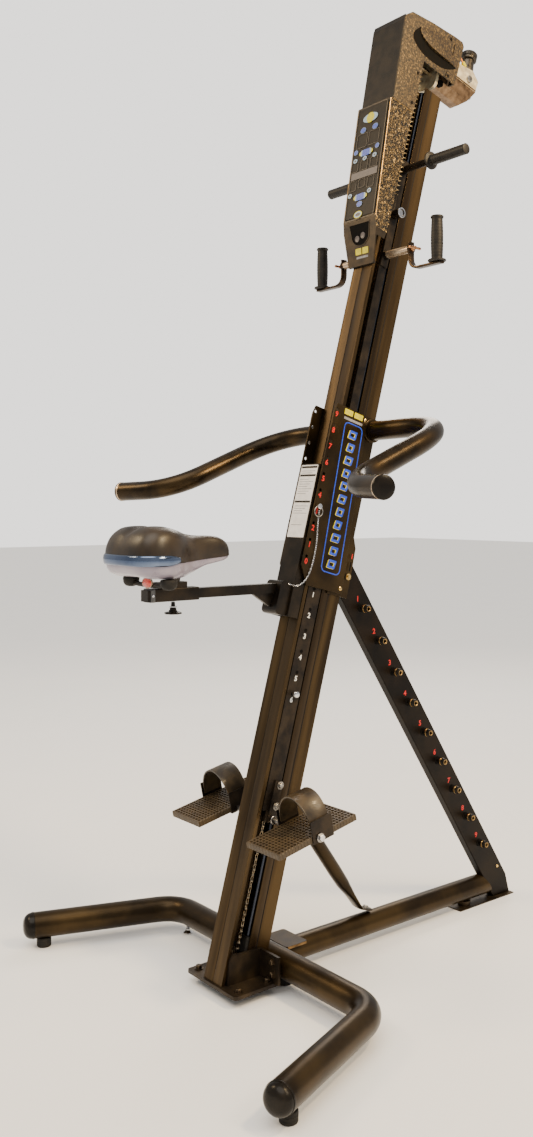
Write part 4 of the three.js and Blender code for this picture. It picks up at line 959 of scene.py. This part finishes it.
# ---- Console ----
# A wedge-shaped moulded box with a coarse hammered gold-brown finish hangs on the mast's front. Its face is a dark
# membrane panel with plain coloured key shapes and windows, and its chin has a pocket of painted shade in a rim.
hammer_gold = flecked("hammer_gold", (0.0045, 0.0028, 0.0011), (0.085, 0.053, 0.017), (0.56, 0.38, 0.145), 255, 1.6,
                      0.5, 0.32)
edge_gold = enamel("edge_gold", (0.16, 0.095, 0.032), (0.34, 0.22, 0.085), 0.8, 0.32, cloud=120, fleck=900, bump=0.2)
chin_brown = enamel("chin_brown", (0.018, 0.011, 0.005), (0.050, 0.031, 0.013), 0.4, 0.36, cloud=40, fleck=1200,
                    bump=0.2)
key_blue = enamel("key_blue", (0.030, 0.065, 0.38), (0.055, 0.12, 0.52), 0.0, 0.32, cloud=300, fleck=1500)
key_pale = enamel("key_pale", (0.26, 0.38, 0.50), (0.36, 0.50, 0.62), 0.0, 0.34, cloud=300, fleck=1500)
key_grey = enamel("key_grey", (0.085, 0.070, 0.068), (0.11, 0.092, 0.088), 0.0, 0.42, cloud=80, fleck=1500)
key_line = enamel("key_line", (0.085, 0.066, 0.048), (0.12, 0.094, 0.066), 0.0, 0.42, cloud=80, fleck=1500)


def mast_place(centres):
    """Depth behind the mast's front and distance up it, in millimetres, of places in metres."""
    y, z = centres[:, 1] * 1000 + MIDDLE, centres[:, 2] * 1000
    return y * COSINE - z * SINE, y * SINE + z * COSINE


def chin_or_side(centres):
    """Finish 1 for the two front faces, 2 for the chin's slanted flanks, 0 for the sides and the rest."""
    depth, along = mast_place(centres)
    front = depth < np.interp(along, [1780, 1888, 2197], [-6.0, -41.0, -71.0])
    flank = (along < 1886) & (np.abs(centres[:, 0]) < 0.0595)
    return np.where(flank & ~front, 2, np.where(front, 1, 0))


soften("console_housing", [hammer_gold, chin_brown, panel_black], 2.2, chin_or_side)
soften("console_panel", [panel_black], 1.0)
console_edges = []
for side in (1, -1):
    console_edges.append(carried([(59.3 * side, -71.2, 2194), (59.3 * side, -56.6, 2043), (59.3 * side, -41.6, 1889)],
                                 circle(1.5, 10), (0, 1, 0)))
    console_edges.append(carried([(59.6 * side, -69, 2196.4), (59.6 * side, -30, 2196.6), (59.6 * side, 7, 2196.4)],
                                 circle(1.2, 10), (0, 0, 1)))
put("console_edges", "root", [edge_gold], console_edges, on_mast)
PANEL_SLOPE = np.array([0.0, 30.0, -309.0]) / np.hypot(30.0, 309.0)


def on_panel(points):
    """Panel millimetres (across, distance up from the lower edge, height off the face) to metres."""
    across, up, off = np.moveaxis(np.asarray(points, float), -1, 0)
    base = np.array([0.0, -44.1, 1888.0])
    out = np.array([0.0, -309.0, -30.0]) / np.hypot(30.0, 309.0)
    return on_mast(base + across[..., None] * (1.0, 0, 0) - up[..., None] * PANEL_SLOPE + off[..., None] * out)


def oval(across, up, wide, high, lean, low, top):
    """An ellipse key, leaning up to the right, as a thin disc from low to top."""
    angle = np.arange(36) * 2 * np.pi / 36
    u, v = wide * np.cos(angle), high * np.sin(angle)
    flat = np.stack([across + u * np.cos(lean) - v * np.sin(lean), up + u * np.sin(lean) + v * np.cos(lean)], -1)
    return plate(flat, low, top)


def frame_line(u0, u1, v0, v1, radius, width, low, top):
    """A thin printed frame: the ring between a round-cornered rectangle and the same one moved in."""
    outer = rounded(u0, u1, v0, v1, radius)
    inner = rounded(u0 + width, u1 - width, v0 + width, v1 - width, max(radius - width, 0.4))
    return stripe(outer, inner, low, top, (0, 1, 2))


SKIN = 1.5
pale, yellow, blue, grey, line = [], [], [], [], []
pale.append(oval(-4, 272, 27, 12, 0, SKIN, SKIN + 0.5))
yellow.append(oval(-4, 272, 14, 13.5, 0, SKIN, SKIN + 0.9))
for across, up in ((-26, 243), (18, 243), (-43, 187), (35, 187), (-4, 42)):
    wide, high = (10, 7.5) if up != 187 else (7.5, 6.5)
    pale.append(oval(across, up, wide, high, 0, SKIN, SKIN + 0.3))
    blue.append(oval(across, up, wide - 0.8, high - 0.8, 0, SKIN, SKIN + 0.55))
for across, up in ((-4, 179), (-4, 61)):
    yellow.append(plate(rounded(across - 25, across + 25, up - 5, up + 5, 5), SKIN, SKIN + 0.4))
    pale.append(plate(rounded(across - 19, across + 19, up - 8, up + 8, 4), SKIN, SKIN + 0.6))
    blue.append(plate(rounded(across - 14, across + 14, up - 8.5, up + 8.5, 5), SKIN, SKIN + 0.8))
for across, up in ((-41, 164), (-6, 164), (30, 164), (27, 71), (-44, 71)):
    pale.append(oval(across, up, 7.2, 5.8, 0, SKIN, SKIN + 0.5))
    grey.append(oval(across, up, 3.6, 2.4, 0, SKIN, SKIN + 0.7))
yellow.append(oval(-4, 14, 15, 9.5, 0, SKIN, SKIN + 0.3))
pale.append(oval(-4, 14, 13, 7.5, 0, SKIN, SKIN + 0.5))
grey.append(oval(-4, 14, 9, 4.5, 0, SKIN, SKIN + 0.7))
grey.append(plate(rounded(-49, 47, 112, 131, 1.5), SKIN, SKIN + 0.3))
for across in (-41, -6, 30):
    line.append(frame_line(across - 13, across + 13, 133, 160, 3, 0.9, SKIN - 0.2, SKIN + 0.35))
for across, low in ((-38, 82), (-6, 86), (27, 80)):
    line.append(frame_line(across - 12, across + 12, low, 110, 4, 0.9, SKIN - 0.2, SKIN + 0.35))
for across in (-26, 18):
    line.append(frame_line(across - 19, across + 19, 196, 234, 4, 0.9, SKIN - 0.2, SKIN + 0.35))
line.append(frame_line(-53.5, 53.5, 2.5, 305, 8, 1.0, SKIN - 0.4, SKIN + 0.3))
for name, finish, shells in (("keys_pale", key_pale, pale), ("keys_yellow", ink_yellow, yellow),
                             ("keys_blue", key_blue, blue), ("keys_grey", key_grey, grey),
                             ("panel_lines", key_line, line)):
    put(name, "root", [finish], shells, on_panel)


def on_chin(points):
    """Chin millimetres (across, distance down from the panel's lower edge, height off the face) to metres."""
    across, down, off = np.moveaxis(np.asarray(points, float), -1, 0)
    along = np.array([0.0, 35.0, -108.0]) / np.hypot(35.0, 108.0)
    out = np.array([0.0, -108.0, -35.0]) / np.hypot(35.0, 108.0)
    return on_mast(np.array([0.0, -42.0, 1888.0]) + across[..., None] * (1.0, 0, 0)
                   + down[..., None] * along + off[..., None] * out)


u_turn = np.linspace(0, np.pi, 17)
pocket = np.concatenate([[(-36, 9), (36, 9)], np.stack([2 + 31 * np.cos(u_turn), 38 + 25 * np.sin(u_turn)], -1)])
pocket_rim = np.concatenate([[(-38.5, 6.5), (38.5, 6.5)],
                             np.stack([2 + 33.5 * np.cos(u_turn), 38 + 27.5 * np.sin(u_turn)], -1)])
rings = [np.c_[r, np.full(len(r), h)] for r, h in ((pocket_rim, -0.5), (pocket_rim, 1.0), (pocket, 1.0), (pocket, 0.2),
                                                   (pocket_rim, -0.5))]
# Painted shade: the pocket is a flat near-black patch inside the raised rim.
put("chin_pocket_shade", "root", [hole_shade_and_seam], [plate(pocket, -0.4, 0.25)], on_chin)
put("chin_rim", "root", [chin_brown], [(np.concatenate(rings), quads(5, len(pocket)))], on_chin)
dials = [turned([(0.2, 8), (1.4, 8), (1.9, 7), (1.2, 5), (1.2, 0)], (across, down, 0), (0, 0, 1), 24)
         for across, down in ((-9, 46), (12, 40))]
put("chin_dials", "root", [key_grey], dials, on_chin)
marks = [plate(rounded(-17, 4, 70, 86, 2), 0, 0.5), plate(rounded(8, 29, 70, 86, 2), 0, 0.5)]
put("chin_marks", "root", [ink_yellow], marks, on_chin)
put("chin_underline", "root", [ink_grey], [plate(rounded(-14, 28, 91, 96, 1), 0, 0.4)], on_chin)

# ---- Coiled edge guards ----
# A coil of plated wire is clipped along each rear edge of the console and head, beside the mast's slots, and keeps
# fingers out of the gap.
coil_turn = np.arange(0, 27.01, 1 / 14) * 2 * np.pi
coil_brass = enamel("coil_brass", (0.30, 0.20, 0.09), (0.62, 0.45, 0.22), 1.0, 0.26, cloud=90, fleck=1800, bump=0.05)
for side, word in SIDES:
    coil = np.stack([side * (52 + 4.2 * np.cos(coil_turn)), 15.5 + 5.2 * np.sin(coil_turn),
                     1972 + 12.7 * coil_turn / (2 * np.pi)], -1)
    put("edge_coil_" + word, "root", [coil_brass], [carried(coil, circle(1.25, 8))], on_mast)

# ---- Resistance unit ----
# A cast body with rounded shoulders, side covers and ridges is bolted behind the top sprocket. A knurled knob on
# its neck sets the resistance, and an insulated lead runs to a terminal.
# The body's pale cream is made lighter than its own tone to paint in the highlight on its upper part.
cast_cream_and_highlight = enamel("cast_cream_and_highlight", (0.58, 0.48, 0.31), (0.84, 0.75, 0.54), 0.6, 0.34, cloud=60, fleck=900,
                    bump=0.20)
cast_brown = enamel("cast_brown", (0.12, 0.072, 0.038), (0.24, 0.155, 0.088), 0.85, 0.30, cloud=60, fleck=900,
                    bump=0.20)
neck_dark = enamel("neck_dark", (0.030, 0.026, 0.022), (0.085, 0.072, 0.056), 0.9, 0.30, cloud=60, fleck=1400,
                   bump=0.10)


def by_band(centres):
    """Finish 1 for the body's lower band, 2 for the neck, 0 for the rest, the pale cream with its painted highlight."""
    depth, along = mast_place(centres)
    neck = (along > 2447) & (depth > 190)
    return np.where(neck, 2, np.where((along < 2352) & (depth > 94), 1, 0))


soften("resistance_unit", [cast_cream_and_highlight, cast_brown, neck_dark], 1.6, by_band)
covers, ridges = [], []
for side in (1, -1):
    covers.append(plate([(95, 2349), (213, 2350), (236, 2386), (96, 2386)], 29 * side, 31.2 * side, (1, 2, 0)))
    for s_line, rear in ((2388.5, 236), (2394, 237)):
        ridges.append(carried([(30.6 * side, 95, s_line), (30.6 * side, 160, s_line), (30.6 * side, rear, s_line)],
                              circle(1.7, 12)))
put("unit_covers", "root", [cast_brown], covers, on_mast, bevel=0.8)
put("unit_ridges", "root", [cast_brown], ridges, on_mast)
# Painted shade: the port in the body's side is a near-black block.
put("unit_port_shade", "root", [hole_shade_and_seam],
    [plate(rounded(99, 116, 2336, 2352, 6), 20, 31.5, (1, 2, 0))], on_mast)
bosses = []
for x, s in ((20, 2404), (-20, 2404), (20, 2372), (-20, 2372)):
    bosses.append(turned([(-4, 5.5), (4, 5.5), (5, 4.4), (5.2, 0)],
                         (x, np.interp(s, [2350, 2392, 2423], [213, 238, 241]), s), (0, 1, 0.1), 20))
bosses.append(turned([(0, 9.5), (4, 9.5), (5, 8.5), (5, 5.5), (3.4, 5.2), (3.4, 0)], (30, 205, 2412), (1, 0, 0), 28))
put("unit_bosses", "root", [bolt_steel], bosses, on_mast)
terminal = turned([(0, 3.4), (1, 4.8), (14, 5.4), (15, 4.4), (15, 0)], (25, 175, 2448), (-0.25, 0.9, -0.30), 20)
put("unit_terminal", "root", [ink_yellow], [terminal], on_mast)
lead_orange = enamel("lead_orange", (0.55, 0.16, 0.02), (0.75, 0.26, 0.05), 0.0, 0.42, cloud=100, fleck=1200)
wire_t = np.linspace(0, 1, 25)[:, None]
wire_path = (1 - wire_t) ** 3 * (30, 136, 2449) + 3 * wire_t * (1 - wire_t) ** 2 * (31, 152, 2452) \
    + 3 * wire_t ** 2 * (1 - wire_t) * (28, 166, 2452) + wire_t ** 3 * (24, 178, 2446)
put("unit_lead", "root", [lead_orange], [carried(wire_path, circle(1.9, 12), (1.0, 0.0, 0.1))], on_mast)
knurl = np.arange(96) * 2 * np.pi / 96
grow = 1 + 0.012 * np.sign(np.sin(knurl * 24))
knob_rings = []
for height, radius in ((2484.3, 20.5), (2485.6, 22.4), (2489, 22.4), (2490, 20.6), (2493, 20.6), (2494, 22.4),
                       (2503, 22.2), (2506, 20), (2506.8, 14), (2507, 0)):
    swell = grow if 21.5 < radius else 1.0 + 0 * grow
    knob_rings.append(np.stack([radius * swell * np.cos(knurl), 217 + radius * swell * np.sin(knurl),
                                0 * knurl + height], -1))
made("resistance_knob", [neck_dark],
     [(np.concatenate(knob_rings), quads(10, 96) + [list(range(96))])], on_mast)

# ---- Seat post and arm ----
# A folded steel channel slides up and down the mast's front between the collar plates; a square tube arm is
# welded to the bracket at its foot. A plain label with bars and rules is stuck on the channel's front.
arm_black = enamel("arm_black", (0.0065, 0.0046, 0.003), (0.021, 0.0145, 0.0082), 0.45, 0.36, cloud=20, fleck=1500,
                   bump=0.10, spread=0.06, shine=0.3)
soften("seat_post", [arm_black], 0.8)
soften("seat_arm", [arm_black], 1.6)
label_white = enamel("plain_label", (0.74, 0.70, 0.66), (0.84, 0.80, 0.755), 0.0, 0.45, cloud=60, fleck=900)
put("post_label", "seat", [label_white],
    [plate(rounded(-31, 31, 1066, 1247, 2), -33.35, -33.0, (0, 2, 1))], on_mast)
bars = [plate([(-29, s), (29, s), (29, s + 5), (-29, s + 5)], -33.6, -33.3, (0, 2, 1)) for s in (1239, 1218, 1152)]
put("post_label_bars", "seat", [panel_black], bars, on_mast)
rules = [plate([(-26, s), (24 - 9 * (k % 3), s), (24 - 9 * (k % 3), s + 1.3), (-26, s + 1.3)], -33.5, -33.3, (0, 2, 1))
          for k, s in enumerate((1231, 1226, 1210, 1204, 1198, 1192, 1186, 1180, 1174, 1143, 1137, 1131, 1125, 1096))]
put("post_label_rules", "seat", [ink_grey], rules, on_mast)

# ---- Saddle slider, bumpers and knob ----
# A rectangular sleeve slides on the arm and carries the saddle's clamp and two black elastomer bumpers. A round
# knob under it locks the reach, and a red reflector hangs behind.
SADDLE_Y = -97.0
sleeve_end = enamel("sleeve_end", (0.050, 0.050, 0.052), (0.11, 0.11, 0.11), 0.2, 0.35, cloud=60, fleck=1200)
slider = plate(rounded(-15.5, 15.5, 903.5, 932.5, 3), -158, -38, (0, 2, 1))
end_clamp = plate(rounded(-16.2, 16.2, 903, 933, 4), -163, -152, (0, 2, 1))
clamp_block = plate(rounded(-14, 14, -128, -66, 6), 932, 945.5)
neck = turned([(0, 13), (3, 13.6), (8, 12), (16, 15), (24, 17)], (0, SADDLE_Y, 931.5), (0, 0, 1), 28)
cross_bar = carried([(-78, -157, 944), (-40, -157, 941), (0, -157, 940), (40, -157, 941), (78, -157, 944)],
                    rounded(-5, 5, -4, 4, 2, 3), (0, 1, 0))
spine = plate(rounded(-11, 11, -163, -100, 4), 938, 946)
bumper = [(-3, 0), (-3, 6), (-1.4, 11.5), (2, 15.4), (6.5, 17.6), (12, 18.2), (16, 18.4), (19, 17)]
bumpers = [turned(bumper, (x, -157, 937), (0, 0, 1), 32) for x in (-77, 77)]
screw_dot = turned([(0, 3.2), (1.2, 3.0), (1.6, 0)], (16.2, -157.5, 918), (1, 0, 0), 16)
made("saddle_slider", [arm_black, sleeve_end, rubber_black, bright],
     [(*slider, 0), (*end_clamp, 1), (*clamp_block, 0), (*neck, 0), (*cross_bar, 0), (*spine, 0)]
     + [(*b, 2) for b in bumpers] + [(*screw_dot, 3)], bevel=0.8)
reflector_red = enamel("reflector_red", (0.60, 0.020, 0.008), (0.80, 0.060, 0.015), 0.0, 0.16, cloud=300, fleck=1600,
                       bump=0.4, coat=0.7)
reflector = turned([(0, 13), (3, 13.4), (4.5, 12.4), (6, 8), (6.6, 0)], (0, -160.2, 946), (0, -1, 0), 32)
reflector = (np.asarray(reflector[0]) * (1.4, 1, 0.80) + (0, 0, 946 * 0.20), reflector[1])
reflector_rim = turned([(0, 14.2), (3.4, 14.6), (3.6, 13)], (0, -160.1, 946), (0, -1, 0), 32)
reflector_rim = (np.asarray(reflector_rim[0]) * (1.4, 1, 0.82) + (0, 0, 946 * 0.18), reflector_rim[1])
put("saddle_reflector", "saddle", [reflector_red, peg_steel], [(*reflector, 0), (*reflector_rim, 1)])
knob_angle = np.arange(72) * 2 * np.pi / 72
lobes = 1 + 0.045 * np.cos(knob_angle * 8)
disc = np.concatenate([np.stack([r * lobes * np.cos(knob_angle), SADDLE_Y + r * lobes * np.sin(knob_angle),
                                 0 * knob_angle + z], -1)
                       for z, r in ((874, 0), (874, 15), (874.8, 18.4), (876.4, 19.1), (878, 18.4),
                                     (879.2, 15), (879.4, 0))])
stem = turned([(0, 9.5), (4, 9.2), (5, 7.5), (9, 7.2), (10, 5), (22, 4.2)], (0, SADDLE_Y, 879), (0, 0, 1), 28)
stem_ring = turned([(0, 5.4), (0.4, 8.3), (2.4, 8.3), (2.8, 5.4)], (0, SADDLE_Y, 889), (0, 0, 1), 28)
made("saddle_knob", [cap_black, bright],
     [(disc, quads(7, 72), 0), (*stem, 0), (*stem_ring, 1)])

# ---- Saddle shell ----
# A moulded lilac-grey tray under the cushion, deep at the tail and thin at the nose, with a glossy blue-tinted
# chrome band round its tail.
saddle_y = np.array([-138, -136, -126, -98, -62, -26, 6, 40, 84, 122, 140, 147.0])
saddle_x = np.array([0, 52, 82, 99, 98, 82, 56, 38, 30, 28, 19, 0.0])


def saddle_rim(count=96):
    """The saddle's outline from above: the half width is a smooth curve through the measured places, walked
    round from the tail's middle by the nose and back, evenly by length."""
    both_x = np.concatenate([saddle_x, -saddle_x[-2:0:-1]])
    both_y = np.concatenate([saddle_y, saddle_y[-2:0:-1]])
    for _ in range(3):
        next_x, next_y = np.roll(both_x, -1), np.roll(both_y, -1)
        both_x = np.stack([0.75 * both_x + 0.25 * next_x, 0.25 * both_x + 0.75 * next_x], -1).ravel()
        both_y = np.stack([0.75 * both_y + 0.25 * next_y, 0.25 * both_y + 0.75 * next_y], -1).ravel()
    walk = np.concatenate([[0], np.cumsum(np.hypot(np.roll(both_x, -1) - both_x, np.roll(both_y, -1) - both_y))])
    even = np.arange(count) * walk[-1] / count
    ring = (np.interp(even, walk, np.r_[both_x, both_x[0]]), np.interp(even, walk, np.r_[both_y, both_y[0]]))
    return np.stack(ring, -1)


def stacked(layers):
    """Rings of points joined one above the other, with a flat face at each end."""
    count, total = len(layers[0]), sum(map(len, layers))
    return np.concatenate(layers), quads(len(layers), count) + [list(range(count)), list(range(total - count, total))]


rim = saddle_rim()


def shell_bottom(y):
    """Height of the shell's underside along the saddle: level under the tail and rising towards the nose."""
    return np.interp(y, [-138, -120, -60, 0, 40, 80, 147], [962, 957, 954.6, 957, 966, 979, 989])


def shell_top(y):
    """Height of the seam between shell and cushion: low at the tail, a little higher at the nose."""
    return np.interp(y, [-138, -60, 20, 90, 147], [991, 990, 991, 996, 1000])


layers = []
for inset, share in ((0.10, 0.0), (0.55, 0.0), (0.80, 0.06), (0.93, 0.28), (0.985, 0.6), (1.0, 0.9), (0.995, 1.0),
                     (0.90, 1.0), (0.1, 1.0)):
    flat = rim * np.array([inset, 1 - (1 - inset) * 0.72])
    height = shell_bottom(rim[:, 1]) + (shell_top(rim[:, 1]) - shell_bottom(rim[:, 1])) * share
    layers.append(np.c_[flat[:, 0] * 0.965, flat[:, 1] * 0.985 + SADDLE_Y, height])
lilac = enamel("shell_lilac", (0.24, 0.21, 0.27), (0.34, 0.305, 0.37), 0.1, 0.30, cloud=12, fleck=1500, bump=0.05,
               coat=0.4)
made("saddle_shell", [lilac], [stacked(layers)], sharp=60)
tail = rim[rim[:, 1] < -30]
tail = tail[np.argsort(np.arctan2(tail[:, 0], -(tail[:, 1] + 40)))]
band_at = np.c_[tail[:, 0] * 0.985, tail[:, 1] + SADDLE_Y, np.full(len(tail), 997.0)]
band_fade = np.clip((-30 - tail[:, 1]) / 40, 0.02, 1)[:, None]
lens = np.array([(1.0, -1.0), (3.2, -0.7), (4.4, 0.0), (3.2, 0.7), (1.0, 1.0), (-1.5, 1.0), (-1.5, -1.0)])
band_section = np.stack([-lens[:, 0] * (0.4 + 0.6 * band_fade), -lens[:, 1] * 11.5 * band_fade ** 0.4], -1)
band_chrome = enamel("band_chrome", (0.075, 0.105, 0.18), (0.16, 0.21, 0.32), 0.95, 0.10, cloud=9, fleck=900,
                     bump=0.12, spread=0.04)
put("saddle_band", "saddle", [band_chrome], [carried(band_at, band_section, (0.0, 0.0, 1.0))], sharp=60)

# ---- Saddle cushion ----
# A foam cushion in dark brown vinyl: broad and raised at the tail with a shallow hollow along the middle, and a
# narrow blunt nose. The cover is pulled round the shell's edge.
def crown(y):
    """Height of the cushion's top along the middle line."""
    return np.interp(y, [-138, -120, -95, -55, -10, 30, 70, 110, 132, 147],
                     [1058, 1068, 1072, 1069, 1058, 1048, 1046, 1048, 1047, 1043])


vinyl, vinyl_shader, add, wire = new_finish("saddle_vinyl")
hide = add("TexVoronoi", Scale=520)
hide.feature = "DISTANCE_TO_EDGE"
patina = add("TexNoise", Scale=18, Detail=5)
hide_tint = ramp(add, (0.35, (0.0095, 0.0056, 0.0026)), (0.68, (0.031, 0.0192, 0.0078)))
hide_gloss = add("MapRange", To_Min=0.30, To_Max=0.46)
hide_lift = add("Bump", Strength=0.22, Distance=0.0004)
object_place = add("TexCoord").outputs["Object"]
for pattern in (hide, patina):
    wire(object_place, pattern.inputs["Vector"])
wire(patina.outputs["Fac"], hide_tint.inputs["Fac"])
wire(patina.outputs["Fac"], hide_gloss.inputs["Value"])
wire(hide.outputs["Distance"], hide_lift.inputs["Height"])
for output, name in ((hide_tint.outputs["Color"], "Base Color"), (hide_gloss.outputs["Result"], "Roughness"),
                     (hide_lift.outputs["Normal"], "Normal")):
    wire(output, vinyl_shader.inputs[name])
vinyl_shader.inputs["Specular IOR Level"].default_value = 0.42

layers = []
for swing in np.linspace(0, 1, 26) * np.pi / 2:
    shrink, rise = np.cos(swing) ** 0.43, np.sin(swing) ** 0.68
    x_here, y_here = rim[:, 0] * shrink, rim[:, 1] * (0.02 + 0.98 * shrink)
    base = shell_top(rim[:, 1]) + 0.5
    hollow = 8.5 * np.exp(-(x_here / 15) ** 2) * np.clip((-10 - y_here) / 60, 0, 1)
    height = base + (crown(y_here) - base) * rise - hollow * rise ** 3
    layers.append(np.c_[x_here * 0.99, y_here + SADDLE_Y, height])
tuck = rim * 0.90
under = np.c_[tuck[:, 0], tuck[:, 1] + SADDLE_Y, shell_top(rim[:, 1]) + 0.6]
layers.insert(0, under)
cushion = made("saddle_pad", [vinyl], [stacked(layers)], sharp=80)

# ---- Seat pin ----
# A plated quick-release pin with a turned head and a split ring locks the seat post in a hole of the right
# collar plate.
pin_s = 1024 + SEAT_HOLE_STEP * 3
pin_body = turned([(0, 3.8), (11, 3.8), (11.5, 6), (12.4, 6.6), (16.4, 6.6), (17.5, 5.2), (17.6, 0)],
                  (38.5, -20, pin_s), (1, 0, 0), 28)
ring_turn = np.linspace(0, 2 * np.pi, 49)
ring_path = np.stack([52 + 0.6 * np.sin(ring_turn / 2), -20 + 12.5 * np.sin(ring_turn),
                      pin_s - 12.5 + 12.5 * np.cos(ring_turn)], -1)
made("seat_pin", [bright, bolt_steel],
     [(*pin_body, 0), (*carried(ring_path, circle(1.2, 12), (1.0, 0.0, 0.0)), 1)], on_mast)

# ---- Lanyard ----
# A slack plated jack chain ties the pin to the seat's bracket, so that the pin isn't lost. Its links are welded
# oval rings, each turned a quarter from the last.
hang = np.array([[53, 281, 1103.5], [51.5, 279.5, 1090], [49, 279, 1066], [47.5, 278.5, 1040],
                 [46.8, 275.5, 1014], [46.6, 269, 987], [46.2, 260.6, 962], [45.6, 250.5, 943], [42.6, 237, 928],
                 [38.8, 222.6, 922.5], [36.4, 212, 924.5], [32.4, 206, 928.5], [28.2, 204.5, 930]])
knots = np.concatenate([[0], np.cumsum(np.linalg.norm(np.diff(hang, axis=0), axis=1))])
fine_at = np.linspace(0, knots[-1], 400)
smooth = np.stack([np.interp(fine_at, knots, hang[:, k]) for k in range(3)], -1)
kernel = np.ones(31) / 31
padded_line = np.concatenate([np.repeat(smooth[:1], 15, 0), smooth, np.repeat(smooth[-1:], 15, 0)])
smooth = np.stack([np.convolve(padded_line[:, k], kernel, "valid") for k in range(3)], -1)
smooth_run = np.concatenate([[0], np.cumsum(np.linalg.norm(np.diff(smooth, axis=0), axis=1))])
chain_long = smooth_run[-1]
count = int(chain_long / 5.2)
middle_run = (np.arange(count) + 0.5) * chain_long / count
centre = np.stack([np.interp(middle_run, smooth_run, smooth[:, k]) for k in range(3)], -1)
before = np.stack([np.interp(middle_run - 2, smooth_run, smooth[:, k]) for k in range(3)], -1)
after = np.stack([np.interp(middle_run + 2, smooth_run, smooth[:, k]) for k in range(3)], -1)
aim = (after - before) / np.linalg.norm(after - before, axis=1)[:, None]
flank = np.cross(aim, (1.0, 0.0, 0.0))
flank /= np.linalg.norm(flank, axis=1)[:, None]
other = np.cross(aim, flank)
ring_t, tube_t = np.meshgrid(np.arange(12) * 2 * np.pi / 12, np.arange(5) * 2 * np.pi / 5, indexing="ij")
long_way = (3.3 + 0.62 * np.cos(tube_t)) * np.cos(ring_t)
short_way = (1.55 + 0.5 * np.cos(tube_t)) * np.sin(ring_t)
thick_way = 0.62 * np.sin(tube_t)
odd_link = (np.arange(count) % 2)[:, None, None, None]
wide_axis = np.where(odd_link, flank[:, None, None], other[:, None, None])
thin_axis = np.where(odd_link, other[:, None, None], -flank[:, None, None])
link_points = (centre[:, None, None] + aim[:, None, None] * long_way[None, ..., None]
               + wide_axis * short_way[None, ..., None] + thin_axis * thick_way[None, ..., None])
i, j = np.meshgrid(np.arange(12), np.arange(5), indexing="ij")
torus = np.stack([i * 5 + j, i * 5 + (j + 1) % 5, (i + 1) % 12 * 5 + (j + 1) % 5, (i + 1) % 12 * 5 + j],
                 -1).reshape(-1, 4)
link_faces = (torus[None] + 60 * np.arange(count)[:, None, None]).reshape(-1, 4).tolist()
lanyard = put("lanyard_made", "root", [bright], [(link_points.reshape(-1, 3), link_faces)])
bpy.context.view_layer.update()
lanyard.parent = None
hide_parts("lanyard")
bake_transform(lanyard)
